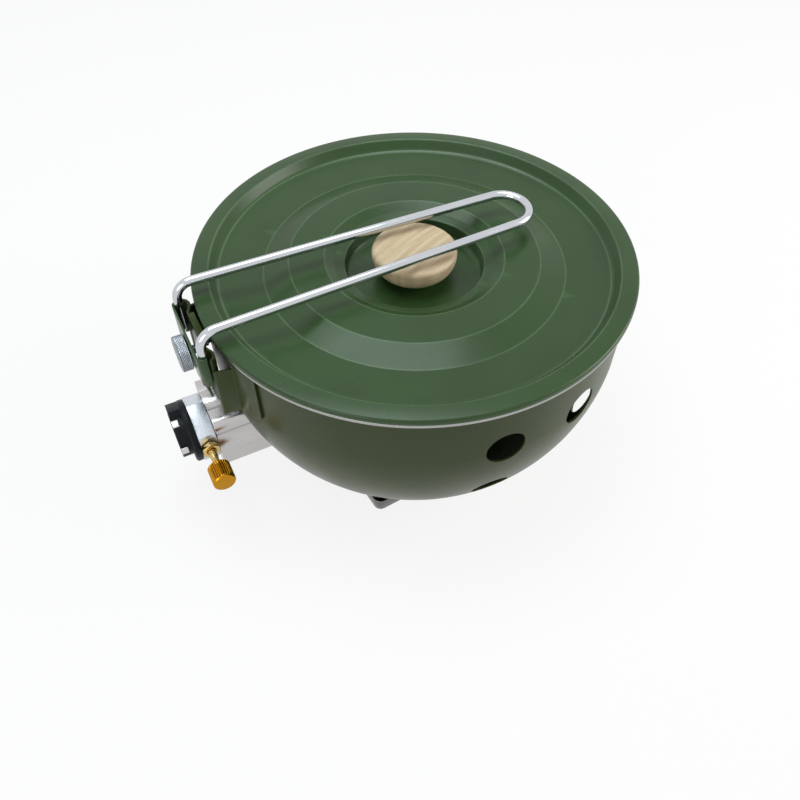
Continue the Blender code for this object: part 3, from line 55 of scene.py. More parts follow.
# The bowl's wall is a straight band, a side arc and a foot arc
BOWL_RADIUS = 0.1168
BOWL_WALL = 0.0011
BOWL_HEIGHT = 0.1204
BOWL_BOTTOM = 0.0081
SIDE_ARC = 0.106
SIDE_ARC_HEIGHT = 0.089
SIDE_ARC_RADIUS = BOWL_RADIUS - SIDE_ARC
FOOT_ARC = 0.035
FOOT_ARC_HEIGHT = BOWL_BOTTOM + FOOT_ARC
FOOT_ARC_RADIUS = SIDE_ARC_RADIUS + sqrt((SIDE_ARC - FOOT_ARC) ** 2
                                         - (SIDE_ARC_HEIGHT - FOOT_ARC_HEIGHT) ** 2)
ARCS_MEET = atan2(SIDE_ARC_HEIGHT - FOOT_ARC_HEIGHT, FOOT_ARC_RADIUS - SIDE_ARC_RADIUS)
WALL_TOP = BOWL_HEIGHT - 0.0020
INNER_WALL_DROP = 0.0006
HEM_RADIUS = 0.0008
HEM_OUT = 0.0004
HEM_END = 0.4 - pi / 2
HEM_ZONE = 0.0022

# Rows of vents: radius, height, number, and degrees from one to the next
VENT_ROWS = ((0.0106, 0.090, 9, 23.65), (0.0104, 0.0455, 5, 47.3))
VENT_PUNCH_LENGTH = 0.02
BASE_SCREWS = 3
BASE_SCREW_HOLE = 0.0023
BASE_SCREW_CIRCLE = 0.03
BASE_SCREW_PUNCH_LENGTH = 0.01
GATE_X = (-0.129, -0.092)

# The lid's upper line, from its hole to its edge: radius, height over its top, fillet
LID_TOP = 0.125
LID_SHEET = 0.00096
LID_SEAT_DROP = 0.0128
LID_LINE = ((0.0023, -LID_SEAT_DROP, 0), (0.012, -LID_SEAT_DROP, 0.0012),
            (0.015, -0.0155, 0.0015), (0.0381, -0.0155, 0.0068), (0.0381, -0.0075, 0.0011),
            (0.0436, -0.0062, 0.0011), (0.0491, -0.0028, 0.0012), (0.0684, -0.0028, 0.0012),
            (0.0824, -0.0074, 0.0016), (0.1064, -0.0059, 0.0055), (0.1106, 0.0004, 0.0011),
            (0.11995, 0, 0.0014), (0.11995, -0.0030, 0))
LID_STEP = 0.0035
# Radii of the lid's creases, where thin pale lines are painted on as highlights
LID_CREASES = (0.0384, 0.0491, 0.0684, 0.0824, 0.1062, 0.1106)
CREASE_HALF_WIDTH = 0.00065

KNOB_HEIGHT = 0.015

RING_TOP = 0.1217
RING_INNER = 0.1126
RING_SKIRT_OUTER = 0.1136
RING_LIP_INNER = 0.1185
RING_OUTER = 0.11958
RING_SKIRT = 0.0142
RING_LIP = 0.0022
RING_SHEET = 0.00098
RING_TOP_INSET = 0.00002

# The wire's middle line: x reach, y half spread and height
WIRE_RADIUS = 0.0025
WIRE_SHARE = 0.998
WIRE_BEND = 0.009
LEG_REACH = 0.1258
LEG_HALF = 0.0203
LEG_FOOT = 0.10205
LEG_STRAIGHT = 0.112
ROD_HALF = 0.0196
ROD_HEIGHT = 0.133
ROD_START = LEG_REACH - WIRE_BEND
LOOP_RADIUS = 0.0142
LOOP_REACH = 0.0720
LOOP_X = LOOP_REACH - WIRE_RADIUS - LOOP_RADIUS
BAR_END_EASE = 0.0004

NUT_START = 0.1299
NUT_HEIGHT = 0.006
BOLT_INNER = 0.1228
BOLT_TIP_INSET = 0.0008
THREAD_PITCH = 0.0008
FLOW_KNOB_START = 0.0315

# Steps of the fine meshes
ROUND_STEPS = 240
KNOB_STEPS = 128
SMALL_STEPS = 48
BAND_STEPS, SIDE_STEPS, FOOT_STEPS, HEM_STEPS = 12, 28, 14, 10
GROOVE_STEPS = 12
BEND_STEPS, ROD_STEPS, LOOP_POINTS, WIRE_SIDES = 16, 12, 20, 28
VENT_SIDES, BASE_SCREW_SIDES = 72, 24

# Edges sharper than these angles, in degrees, stay crisp or are eased
SHARP = 35
EASED_SHARP = 40
THUMB_SHARP = 22
FLOW_KNOB_SHARP = 24
EASED_FROM = 30
FLAT_WITHIN = 0.7
TINY = 1e-6


# Mesh helpers

def link(name, mesh, body, replaces, material):
    piece = bpy.data.objects.new(name, mesh)
    PIECES.objects.link(piece)
    mesh.materials.clear()
    mesh.materials.append(material)
    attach(piece, body)
    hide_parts(*replaces)
    return piece


def shade(mesh, angle):
    mesh.shade_smooth()
    mesh.set_sharp_from_angle(angle=radians(angle))


def as_mesh(bm, name):
    """A mesh of the bmesh, with its faces turned outwards."""
    bmesh.ops.recalc_face_normals(bm, faces=bm.faces)
    mesh = bpy.data.meshes.new(name)
    bm.to_mesh(mesh)
    bm.free()
    return mesh


def arc(cx, cz, radius, start, end, count):
    return [(cx + radius * cos(start + (end - start) * k / (count - 1)),
             cz + radius * sin(start + (end - start) * k / (count - 1))) for k in range(count)]


def quarter(steps):
    """Angles from 0 to a right angle."""
    return [pi / 2 * k / steps for k in range(steps + 1)]


def directions(points):
    """The way a path runs at each point, between those of the two parts that meet there."""
    parts = [(b - a).normalized() for a, b in zip(points, points[1:])]
    return [(one + two).normalized() for one, two in zip(parts[:1] + parts, parts + parts[-1:])]


def filleted(points, count):
    """Rounds the inner corners of a path of (x, y, radius) points."""
    most_of_side = 0.48
    straight_within = 0.01
    path = [Vector(p[:2]) for p in points]
    result = [tuple(path[0])]
    for k in range(1, len(path) - 1):
        here = path[k]
        before = path[k - 1] - here
        after = path[k + 1] - here
        half = before.angle(after) / 2
        shortest = min(before.length, after.length)
        radius = min(points[k][2], most_of_side * shortest * sin(half) / cos(half))
        if radius <= 0 or abs(half - pi / 2) < straight_within:
            result.append(tuple(here))
            continue
        reach = radius * cos(half) / sin(half)
        middle = (before.normalized() + after.normalized()).normalized()
        centre = here + middle * radius / sin(half)
        first = here + before.normalized() * reach - centre
        last = here + after.normalized() * reach - centre
        turn = first.angle_signed(last)
        for step in range(count + 1):
            a = -turn * step / count
            result.append((centre.x + first.x * cos(a) - first.y * sin(a),
                           centre.y + first.x * sin(a) + first.y * cos(a)))
    result.append(tuple(path[-1]))
    return result


def turned_mesh(name, profile, steps, closed=True, placement=None, radius_at=None, sharp=SHARP):
    """A profile of (radius, height) turned about Z; radius_at can vary it with the angle."""
    bm = bmesh.new()
    rings = []
    for r, z in profile:
        if r < TINY:
            rings.append([bm.verts.new((0, 0, z))])
            continue
        ring = []
        for k in range(steps):
            a = 2 * pi * k / steps
            rr = r if radius_at is None else radius_at(r, z, a)
            ring.append(bm.verts.new((rr * cos(a), rr * sin(a), z)))
        rings.append(ring)
    pairs = list(zip(rings, rings[1:])) + ([(rings[-1], rings[0])] if closed else [])
    for one, two in pairs:
        for k in range(steps):
            n = (k + 1) % steps
            if len(one) == 1:
                bm.faces.new((one[0], two[k], two[n]))
            elif len(two) == 1:
                bm.faces.new((one[k], two[0], one[n]))
            else:
                bm.faces.new((one[k], two[k], two[n], one[n]))
    mesh = as_mesh(bm, name)
    if placement is not None:
        mesh.transform(placement)
    shade(mesh, sharp)
    return mesh


def placed(origin, across, along):
    """The matrix that sets a thing turned about Z at a place, along a direction."""
    w = Vector(along).normalized()
    u = Vector(across).normalized()
    m = Matrix((u, w.cross(u), w)).transposed().to_4x4()
    m.translation = Vector(origin)
    return m


def knurl_band(z, low, high):
    """1 between two heights, fading to 0 at them."""
    fade = 0.0003
    return min(1, max(0, (z - low) / fade), max(0, (high - z) / fade))


def applied(piece):
    """Makes the modifiers' result the piece's own mesh."""
    dg = bpy.context.evaluated_depsgraph_get()
    mesh = bpy.data.meshes.new_from_object(piece.evaluated_get(dg))
    piece.modifiers.clear()
    piece.data = mesh


def eased(node, width, material, body="stove", segments=2):
    """The node's own shape with its sharp edges rounded over."""
    mesh = NODES[node].data.copy()
    bm = bmesh.new()
    bm.from_mesh(mesh)
    bmesh.ops.remove_doubles(bm, verts=bm.verts, dist=TINY)
    bmesh.ops.dissolve_limit(bm, angle_limit=radians(FLAT_WITHIN), verts=bm.verts, edges=bm.edges)
    bm.to_mesh(mesh)
    bm.free()
    piece = link(node + "_eased", mesh, body, (node,), material)
    bevel = piece.modifiers.new("Eased", 'BEVEL')
    bevel.width = width
    bevel.segments = segments
    bevel.limit_method = 'ANGLE'
    bevel.angle_limit = radians(EASED_FROM)
    applied(piece)
    shade(piece.data, EASED_SHARP)


def keep_node(node, material):
    """A node that shows as it is, in a detailed material."""
    mesh = NODES[node].data
    mesh.materials.clear()
    mesh.materials.append(material)


# Materials

# Most of a noise texture's values lie between these
NOISE_RANGE = (0.3, 0.7)
# Sockets of the colour mix node
MIX_FACTOR, MIX_FIRST, MIX_SECOND, MIX_RESULT = 0, 6, 7, 2


class Nodes:
    """A small builder for one material's node tree."""

    def __init__(self, name):
        self.material = bpy.data.materials.new(name)
        self.material.use_nodes = True
        self.tree = self.material.node_tree
        self.shader = self.tree.nodes["Principled BSDF"]

    def new(self, kind, **values):
        node = self.tree.nodes.new(kind)
        for key, value in values.items():
            setattr(node, key, value)
        return node

    def join(self, out, into):
        self.tree.links.new(out, into)

    def coords(self, scale=(1, 1, 1), rotation=(0, 0, 0), kind='POINT'):
        """The object's own coordinates in metres, scaled and turned."""
        source = self.new("ShaderNodeTexCoord")
        mapping = self.new("ShaderNodeMapping", vector_type=kind)
        mapping.inputs["Scale"].default_value = scale
        mapping.inputs["Rotation"].default_value = rotation
        self.join(source.outputs["Object"], mapping.inputs["Vector"])
        return mapping.outputs["Vector"]

    def turned_coords(self, scale, turn):
        """Coordinates turned about Z first, so that the first axis runs along the grain."""
        return self.coords(tuple(1 / s for s in scale), (0, 0, turn), 'TEXTURE')

    def noise(self, vector, scale, detail, rough=0.5):
        node = self.new("ShaderNodeTexNoise")
        node.inputs["Scale"].default_value = scale
        node.inputs["Detail"].default_value = detail
        node.inputs["Roughness"].default_value = rough
        self.join(vector, node.inputs["Vector"])
        return node.outputs["Fac"]

    def ramp(self, fac, low, high, start=NOISE_RANGE[0], end=NOISE_RANGE[1]):
        """Runs from one colour to another as the factor goes from start to end."""
        node = self.new("ShaderNodeValToRGB")
        stops = ((start, low), (end, high))
        for element, (position, colour) in zip(node.color_ramp.elements, stops):
            element.position = position
            element.color = (*colour, 1)
        self.join(fac, node.inputs["Fac"])
        return node.outputs["Color"]

    def spread(self, fac, low, high, start=0.0, end=1.0):
        """Runs from one value to another as the factor goes from start to end."""
        node = self.new("ShaderNodeMapRange")
        node.inputs["From Min"].default_value = start
        node.inputs["From Max"].default_value = end
        node.inputs["To Min"].default_value = low
        node.inputs["To Max"].default_value = high
        self.join(fac, node.inputs["Value"])
        return node.outputs["Result"]

    def mix(self, fac, tone, colour):
        """The tone, carried towards a flat colour by the factor."""
        node = self.new("ShaderNodeMix", data_type='RGBA')
        self.join(fac, node.inputs[MIX_FACTOR])
        self.join(tone, node.inputs[MIX_FIRST])
        node.inputs[MIX_SECOND].default_value = (*colour, 1)
        return node.outputs[MIX_RESULT]

    def math(self, kind, *values):
        node = self.new("ShaderNodeMath", operation=kind)
        for value, socket in zip(values, node.inputs):
            if isinstance(value, float):
                socket.default_value = value
            else:
                self.join(value, socket)
        return node.outputs[0]

    def near_radii(self, radii, half_width):
        """1 on circles of these radii round the Z axis, fading to 0 at a half width from them."""
        core = half_width * 0.3
        length = self.new("ShaderNodeVectorMath", operation='LENGTH')
        self.join(self.coords((1, 1, 0)), length.inputs[0])
        most = 0.0
        for radius in radii:
            apart = self.math('ABSOLUTE', self.math('SUBTRACT', length.outputs["Value"], radius))
            most = self.math('MAXIMUM', most, self.spread(apart, 1.0, 0.0, core, half_width))
        return most

    def bump(self, height, distance, strength, under=None):
        node = self.new("ShaderNodeBump")
        node.inputs["Distance"].default_value = distance
        node.inputs["Strength"].default_value = strength
        self.join(height, node.inputs["Height"])
        if under is not None:
            self.join(under, node.inputs["Normal"])
        return node.outputs["Normal"]

    def finish(self, colour, roughness, normal, **sockets):
        """Feeds the shader. Other sockets are set by name, with _ for a space."""
        self.join(colour, self.shader.inputs["Base Color"])
        self.join(roughness, self.shader.inputs["Roughness"])
        self.join(normal, self.shader.inputs["Normal"])
        for key, value in sockets.items():
            self.shader.inputs[key.replace("_", " ")].default_value = value
        return self.material


def linear(r, g, b):
    """Colour values from 0 to 255, as they show on screen, made linear."""
    def one(v):
        v /= 255
        return v / 12.92 if v <= 0.04045 else ((v + 0.055) / 1.055) ** 2.4
    return (one(r), one(g), one(b))


def toned(colour, factor, lift=0.0):
    """The colour made darker or paler."""
    return tuple(min(1, c * factor + lift) for c in colour)


def coated(name, colour, rough, gloss_level, creases=()):
    """Satin stove enamel over steel: fine ripple, faint mottle, convex edges made paler as wear and
    as a painted highlight, and painted highlight lines along any creases given.
    """
    n = Nodes(name)
    v = n.coords()
    cloud = n.noise(v, scale=22, detail=2)
    fine = n.noise(v, scale=900, detail=2)
    ripple = n.noise(v, scale=420, detail=2, rough=0.4)
    dust = n.noise(v, scale=2600, detail=1)
    tone = n.ramp(cloud, toned(colour, 0.90), toned(colour, 1.10))
    speck = n.spread(dust, 0.0, 0.16, start=0.60, end=0.74)
    tone = n.mix(speck, tone, toned(colour, 1.6, lift=0.01))
    # Convex edges paler: partly rubbed wear, partly a painted highlight line along rims and edges
    geometry = n.new("ShaderNodeNewGeometry")
    edge = n.spread(geometry.outputs["Pointiness"], 0.0, 0.4, start=0.53, end=0.60)
    tone = n.mix(edge, tone, toned(colour, 1.9, lift=0.012))
    # Painted highlight: thin pale lines along the creases, their strength varied by the cloud noise
    if creases:
        crease_highlight = n.math('MULTIPLY', n.near_radii(creases, CREASE_HALF_WIDTH),
                        n.spread(cloud, 0.35, 0.75, *NOISE_RANGE))
        tone = n.mix(crease_highlight, tone, toned(colour, 1.8, lift=0.055))
    smear = n.noise(n.coords(scale=(6, 14, 6), rotation=(0, 0, 0.5)), scale=4, detail=3)
    gloss = n.math('ADD', n.spread(smear, rough - 0.035, rough + 0.045, *NOISE_RANGE),
                   n.spread(fine, -0.02, 0.02))
    normal = n.bump(ripple, distance=0.00003, strength=0.55)
    normal = n.bump(fine, distance=0.000012, strength=0.5, under=normal)
    return n.finish(tone, gloss, normal, Coat_Weight=0.03, Coat_Roughness=0.20,
                    Specular_IOR_Level=gloss_level)


def drawn_metal(name, colour, rough, along, strength, reflection_tint=None):
    """Metal with fine lines along one direction, faint clouding, and where given, clouds of a
    painted reflection colour.
    """
    lines_along, lines_across, streak = 30, 1800, 0.06
    n = Nodes(name)
    scale = tuple(lines_along if c else lines_across for c in along)
    lines = n.noise(n.coords(scale), scale=1.0, detail=2)
    cloud = n.noise(n.coords(), scale=60, detail=3)
    tone = n.ramp(lines, toned(colour, 1 - streak), toned(colour, 1 + streak))
    # Painted reflection: pink-lilac clouds, placed at random, stand in for reflected colour
    if reflection_tint is not None:
        tone = n.mix(n.spread(cloud, 0.0, 0.5, start=0.45, end=0.75), tone, reflection_tint)
    gloss = n.math('ADD', n.spread(lines, rough - 0.05, rough + 0.06, *NOISE_RANGE),
                   n.spread(cloud, -0.03, 0.03, *NOISE_RANGE))
    normal = n.bump(lines, distance=0.00001, strength=strength)
    return n.finish(tone, gloss, normal, Metallic=1.0)


def plain_metal(name, colour, rough, strength=0.25):
    """Polished or plated metal with hairline marks in every direction."""
    n = Nodes(name)
    cloud = n.noise(n.coords(), scale=90, detail=3)
    one, two = (n.noise(n.coords(scale, rotation), scale=1.0, detail=2) for scale, rotation in
                (((900, 60, 300), (0.3, 0.2, 0.9)), ((60, 800, 300), (0.9, 0.1, 0.4))))
    marks = n.math('ADD', one, two)
    tone = n.ramp(cloud, toned(colour, 0.93), toned(colour, 1.05))
    gloss = n.math('ADD', n.spread(cloud, rough - 0.03, rough + 0.04, *NOISE_RANGE),
                   n.spread(marks, -0.02, 0.03, start=0.7, end=1.3))
    normal = n.bump(marks, distance=0.000006, strength=strength)
    return n.finish(tone, gloss, normal, Metallic=1.0)


def moulded(name, colour, rough, gloss_level):
    """Moulded plastic or rubber with a fine grain and handled patches."""
    n = Nodes(name)
    v = n.coords()
    grain = n.noise(v, scale=2200, detail=2)
    cloud = n.noise(v, scale=130, detail=3)
    tone = n.ramp(cloud, toned(colour, 0.8), toned(colour, 1.35, lift=0.002), end=0.75)
    gloss = n.math('ADD', n.spread(cloud, rough - 0.07, rough + 0.08, *NOISE_RANGE),
                   n.spread(grain, -0.03, 0.03))
    normal = n.bump(grain, distance=0.00002, strength=0.5)
    return n.finish(tone, gloss, normal, Specular_IOR_Level=gloss_level)


def beech(name):
    """Pale beech: broad figure, close grain lines and the short dark flecks of the rays."""
    n = Nodes(name)
    turn = radians(24)
    warp = n.noise(n.turned_coords((8, 30, 30), turn), scale=1.0, detail=2)
    bands = n.new("ShaderNodeTexWave", wave_type='BANDS', bands_direction='Y')
    for socket, value in (("Scale", 52), ("Distortion", 5), ("Detail", 3), ("Detail Scale", 1.2)):
        bands.inputs[socket].default_value = value
    n.join(n.turned_coords((0.35, 1, 1), turn), bands.inputs["Vector"])
    lines = n.noise(n.turned_coords((24, 560, 560), turn), scale=1.0, detail=3)
    fleck = n.noise(n.turned_coords((300, 2600, 2600), turn), scale=1.0, detail=1)
    tone = n.ramp(bands.outputs["Fac"], linear(203, 181, 148), linear(216, 197, 167),
                  start=0.15, end=0.85)
    tone = n.mix(n.spread(lines, 0.0, 0.6, start=0.42, end=0.70), tone, linear(186, 160, 126))
    tone = n.mix(n.spread(fleck, 0.0, 0.55, start=0.62, end=0.72), tone, linear(150, 118, 84))
    tone = n.mix(n.spread(warp, 0.0, 0.25, start=0.4, end=0.7), tone, linear(206, 178, 140))
    gloss = n.spread(lines, 0.50, 0.62, start=0.35, end=0.65)
    height = n.math('ADD', lines, n.math('MULTIPLY', fleck, 0.5))
    normal = n.bump(height, distance=0.00005, strength=0.5)
    return n.finish(tone, gloss, normal, Coat_Weight=0.04, Coat_Roughness=0.4,
                    Specular_IOR_Level=0.35)


def make_materials():
    return {
        # The lid's enamel, with painted highlight lines along its creases
        "lid": coated("lid_enamel", linear(46, 72, 36), 0.29, 0.30, LID_CREASES),
        "bowl": coated("bowl_enamel", linear(55, 67, 32), 0.32, 0.17),
        "wire": drawn_metal("wire_steel", (0.57, 0.59, 0.62), 0.10, ALONG_X, 0.2),
        "ring": drawn_metal("ring_steel", (0.38, 0.38, 0.365), 0.28, UP, 0.2),
        "sheet": plain_metal("sheet_steel", (0.40, 0.39, 0.38), 0.24),
        # A darker copy of the sheet steel for the stand tray: painted shade and painted dark
        # reflection under the bowl
        "tray": plain_metal("shaded_tray_steel", (0.17, 0.17, 0.17), 0.26),
        "screw": plain_metal("screw_steel", (0.60, 0.60, 0.59), 0.20),
        "nickel": plain_metal("thumb_nickel", (0.31, 0.335, 0.37), 0.34),
        # The inlet body's aluminium, with pink-lilac clouds painted in as reflection
        "body": drawn_metal("body_aluminium", (0.50, 0.49, 0.485), 0.26, ALONG_X, 0.45,
                            reflection_tint=(0.52, 0.48, 0.50)),
        "block": drawn_metal("block_aluminium", (0.61, 0.65, 0.71), 0.34, ALONG_Y, 0.5),
        "cast": plain_metal("cast_aluminium", (0.52, 0.52, 0.51), 0.45, 0.6),
        "brass": plain_metal("turned_brass", (0.60, 0.43, 0.17), 0.22),
        "gold": plain_metal("knob_brass", (0.48, 0.22, 0.010), 0.24),
        "cap": plain_metal("cap_brass", (0.60, 0.42, 0.17), 0.34),
        "black": moulded("black_moulding", (0.006, 0.008, 0.011), 0.42, 0.14),
        "rubber": moulded("black_rubber", (0.012, 0.012, 0.012), 0.7, 0.2),
        "beech": beech("pale_beech_grain"),
    }


# Bowl

def bowl_line(inset, top):
    """One side of the wall, from under the rim down to the middle of the floor."""
    line = [(BOWL_RADIUS - inset, top + (SIDE_ARC_HEIGHT - top) * k / BAND_STEPS)
            for k in range(BAND_STEPS)]
    line += arc(SIDE_ARC_RADIUS, SIDE_ARC_HEIGHT, SIDE_ARC - inset, 0, -ARCS_MEET, SIDE_STEPS)
    line += arc(FOOT_ARC_RADIUS, FOOT_ARC_HEIGHT, FOOT_ARC - inset, -ARCS_MEET, -pi / 2,
                FOOT_STEPS)[1:]
    edge, height = line[-1]
    line += [(edge * share, height) for share in (0.75, 0.5, 0.25)]
    return line + [(0, BOWL_BOTTOM + inset)]


def bowl_profile():
    """From the middle of the floor up the inner side, round the hem and down the outer side."""
    inner = bowl_line(BOWL_WALL, WALL_TOP - INNER_WALL_DROP)
    hem = arc(BOWL_RADIUS + HEM_OUT, BOWL_HEIGHT - HEM_RADIUS, HEM_RADIUS, pi, HEM_END, HEM_STEPS)
    return inner[::-1] + hem + bowl_line(0, WALL_TOP)


def make_bowl(m):
    mesh = turned_mesh("bowl_fine", bowl_profile(), ROUND_STEPS, closed=False)
    bowl = link("bowl_fine", mesh, "stove", ("bowl_shell",), m["bowl"])
    bm = bmesh.new()

    def punch(radius, length, sides, placement):
        bmesh.ops.create_cone(bm, cap_ends=True, segments=sides, radius1=radius, radius2=radius,
                              depth=length, matrix=placement)

    for radius, height, count, step in VENT_ROWS:
        drop = max(SIDE_ARC_HEIGHT - height, 0)
        tilt = asin(drop / SIDE_ARC)
        r = SIDE_ARC_RADIUS + sqrt(SIDE_ARC ** 2 - drop ** 2)
        for k in range(count):
            a = (k - (count - 1) / 2) * radians(step)
            middle = Vector((r * cos(a), r * sin(a), height))
            out = Vector((cos(a) * cos(tilt), sin(a) * cos(tilt), -sin(tilt)))
            side = Vector((-sin(a), cos(a), 0))
            punch(radius, VENT_PUNCH_LENGTH, VENT_SIDES, placed(middle, side, out))
    for k in range(BASE_SCREWS):
        a = 2 * pi * k / BASE_SCREWS + pi / BASE_SCREWS
        place = (BASE_SCREW_CIRCLE * cos(a), BASE_SCREW_CIRCLE * sin(a), BOWL_BOTTOM)
        punch(BASE_SCREW_HOLE, BASE_SCREW_PUNCH_LENGTH, BASE_SCREW_SIDES,
              Matrix.Translation(place))
    cutters = [bpy.data.objects.new("punches", as_mesh(bm, "punches")),
               bpy.data.objects.new("gate", prism("gate", inlet_outline(CLEARANCE), *GATE_X))]
    for cutter in cutters:
        PIECES.objects.link(cutter)
        modifier = bowl.modifiers.new(cutter.name, 'BOOLEAN')
        modifier.operation = 'DIFFERENCE'
        modifier.solver = 'EXACT'
        modifier.object = cutter
    applied(bowl)
    for cutter in cutters:
        bpy.data.objects.remove(cutter, do_unlink=True)
    true_normals(bowl.data)


def bowl_normal(p):
    """The wall's outward direction at a point near it."""
    r = sqrt(p.x ** 2 + p.y ** 2)
    flat = Vector((p.x, p.y, 0)) / max(r, TINY)
    if p.z >= SIDE_ARC_HEIGHT:
        return flat
    if r <= FOOT_ARC_RADIUS:
        return Vector((0, 0, -1))
    angle = atan2(FOOT_ARC_HEIGHT - p.z, r - FOOT_ARC_RADIUS)
    if angle < ARCS_MEET:
        angle = atan2(SIDE_ARC_HEIGHT - p.z, r - SIDE_ARC_RADIUS)
    return flat * cos(angle) + Vector((0, 0, -sin(angle)))


def true_normals(mesh):
    """Shades the wall by its true form, and leaves the hem and the cut edges as they are."""
    on_wall = 0.8
    normals = []
    for polygon in mesh.polygons:
        for index in polygon.loop_indices:
            p = mesh.vertices[mesh.loops[index].vertex_index].co
            n = bowl_normal(p)
            d = n.dot(polygon.normal)
            if p.z > BOWL_HEIGHT - HEM_ZONE or abs(d) <= on_wall:
                n = mesh.corner_normals[index].vector.copy()
            elif d < 0:
                n = -n
            normals.append(n)
    mesh.normals_split_custom_set(normals)


def inlet_outline(grow):
    """The inlet body's section in (y, z) from its axis: rounded, with a groove above and beside."""
    half = 0.019 + grow
    corner = 0.0045 + grow
    top_w = 0.0078 - grow
    top_d = 0.0036
    top_r = (top_w ** 2 + top_d ** 2) / (2 * top_d)
    sweep = asin(top_w / top_r)
    side_z = 0.00575
    side_h = side_z - grow
    side_d = 0.0018
    side_r = (side_h ** 2 + side_d ** 2) / (2 * side_d)
    side_sweep = asin(side_h / side_r)
    pts = arc(0, half + top_r - top_d, top_r, -pi / 2, -pi / 2 + sweep, GROOVE_STEPS)
    pts += arc(half - corner, half - corner, corner, pi / 2, 0, GROOVE_STEPS)
    pts += arc(half + side_r - side_d, side_z, side_r, pi - side_sweep, pi + side_sweep,
               GROOVE_STEPS)
    pts += arc(half - corner, corner - half, corner, 0, -pi / 2, GROOVE_STEPS)
    return pts + [(-x, y) for x, y in pts[::-1] if x > TINY]


def prism(name, outline, start, end):
    """A solid along X with a section given in (y, z) from the gas axis."""
    bm = bmesh.new()
    one = [bm.verts.new((start, y, GAS_HEIGHT + z)) for y, z in outline]
    two = [bm.verts.new((end, y, GAS_HEIGHT + z)) for y, z in outline]
    bm.faces.new(one)
    bm.faces.new(two[::-1])
    for k in range(len(outline)):
        n = (k + 1) % len(outline)
        bm.faces.new((one[k], two[k], two[n], one[n]))
    return as_mesh(bm, name)


# Lid, knob and ring

def make_lid(m):
    upper = filleted([(r, LID_TOP + rise, fillet) for r, rise, fillet in LID_LINE], 7)
    dense = []
    for (r0, z0), (r1, z1) in zip(upper, upper[1:]):
        steps = max(1, int(abs(r1 - r0) / LID_STEP))
        dense += [(r0 + (r1 - r0) * k / steps, z0 + (z1 - z0) * k / steps) for k in range(steps)]
    dense.append(upper[-1])
    points = [Vector(p) for p in dense]
    under = [(p.x + way.y * LID_SHEET, p.y - way.x * LID_SHEET)
             for p, way in zip(points, directions(points))]
    mesh = turned_mesh("lid_fine", dense + under[::-1], ROUND_STEPS)
    link("lid_fine", mesh, "lid", ("lid_shell",), m["lid"])


def make_knob(m):
    """The wooden knob: a nearly flat top, a rounded edge, a belly and the bore for its screw."""
    seat = LID_TOP - LID_SEAT_DROP + CLEARANCE
    top = seat + KNOB_HEIGHT
    edge_r, edge_out, edge_drop, edge_rise = 0.0209, 0.0024, 0.0034, 0.0026
    belly_r, belly_out, belly_rise = 0.0145, 0.0088, 0.0108
    foot, bore, bore_lead, bore_depth = 0.0030, 0.0024, 0.0005, 0.010
    line = [(0, top), (0.012, top - 0.00025), (0.0188, top - 0.0007)]
    line += [(edge_r + edge_out * sin(a), top - edge_drop + edge_rise * cos(a))
             for a in quarter(10)]
    line += [(belly_r + belly_out * cos(a), seat + belly_rise * (1 - sin(a)))
             for a in quarter(14)]
    line += [(foot, seat), (bore, seat + bore_lead), (bore, seat + bore_depth),
             (0, seat + bore_depth)]
    mesh = turned_mesh("knob_fine", line, KNOB_STEPS, closed=False)
    link("knob_fine", mesh, "lid", ("lid_knob",), m["beech"])


def make_ring(m):
    low = RING_TOP - RING_SKIRT
    edge = RING_TOP - RING_LIP
    top = RING_TOP - RING_TOP_INSET
    under = RING_TOP - RING_SHEET
    line = [(RING_INNER, low, 0), (RING_INNER, top, 0.0007), (RING_OUTER, top, 0.0008),
            (RING_OUTER, edge, 0.0005), (RING_LIP_INNER, edge, 0.0004),
            (RING_LIP_INNER, under, 0.0002), (RING_SKIRT_OUTER, under, 0.0003),
            (RING_SKIRT_OUTER, low, 0)]
    mesh = turned_mesh("ring_fine", filleted(line, 5), ROUND_STEPS)
    link("ring_fine", mesh, "stove", ("support_ring",), m["ring"])


# Handle

def make_wire(m):
    half = [(-LEG_REACH, LEG_HALF, LEG_FOOT), (-LEG_REACH, LEG_HALF, LEG_STRAIGHT)]
    for k in range(BEND_STEPS + 1):
        share = k / BEND_STEPS
        a = pi - pi / 2 * share
        half.append((-LEG_REACH + WIRE_BEND + WIRE_BEND * cos(a),
                     LEG_HALF + (ROD_HALF - LEG_HALF) * share,
                     ROD_HEIGHT - WIRE_BEND + WIRE_BEND * sin(a)))
    for k in range(1, ROD_STEPS):
        share = k / ROD_STEPS
        half.append((-ROD_START + (LOOP_X + ROD_START) * share,
                     ROD_HALF + (LOOP_RADIUS - ROD_HALF) * share, ROD_HEIGHT))
    half += [(x, y, ROD_HEIGHT) for x, y in arc(LOOP_X, 0, LOOP_RADIUS, pi / 2, 0, LOOP_POINTS)]
    points = half + [(x, -y, z) for x, y, z in half[-2::-1]]
    mesh = tube("wire_fine", points, WIRE_RADIUS * WIRE_SHARE, WIRE_SIDES)
    link("wire_fine", mesh, "handle", ("handle_wire",), m["wire"])


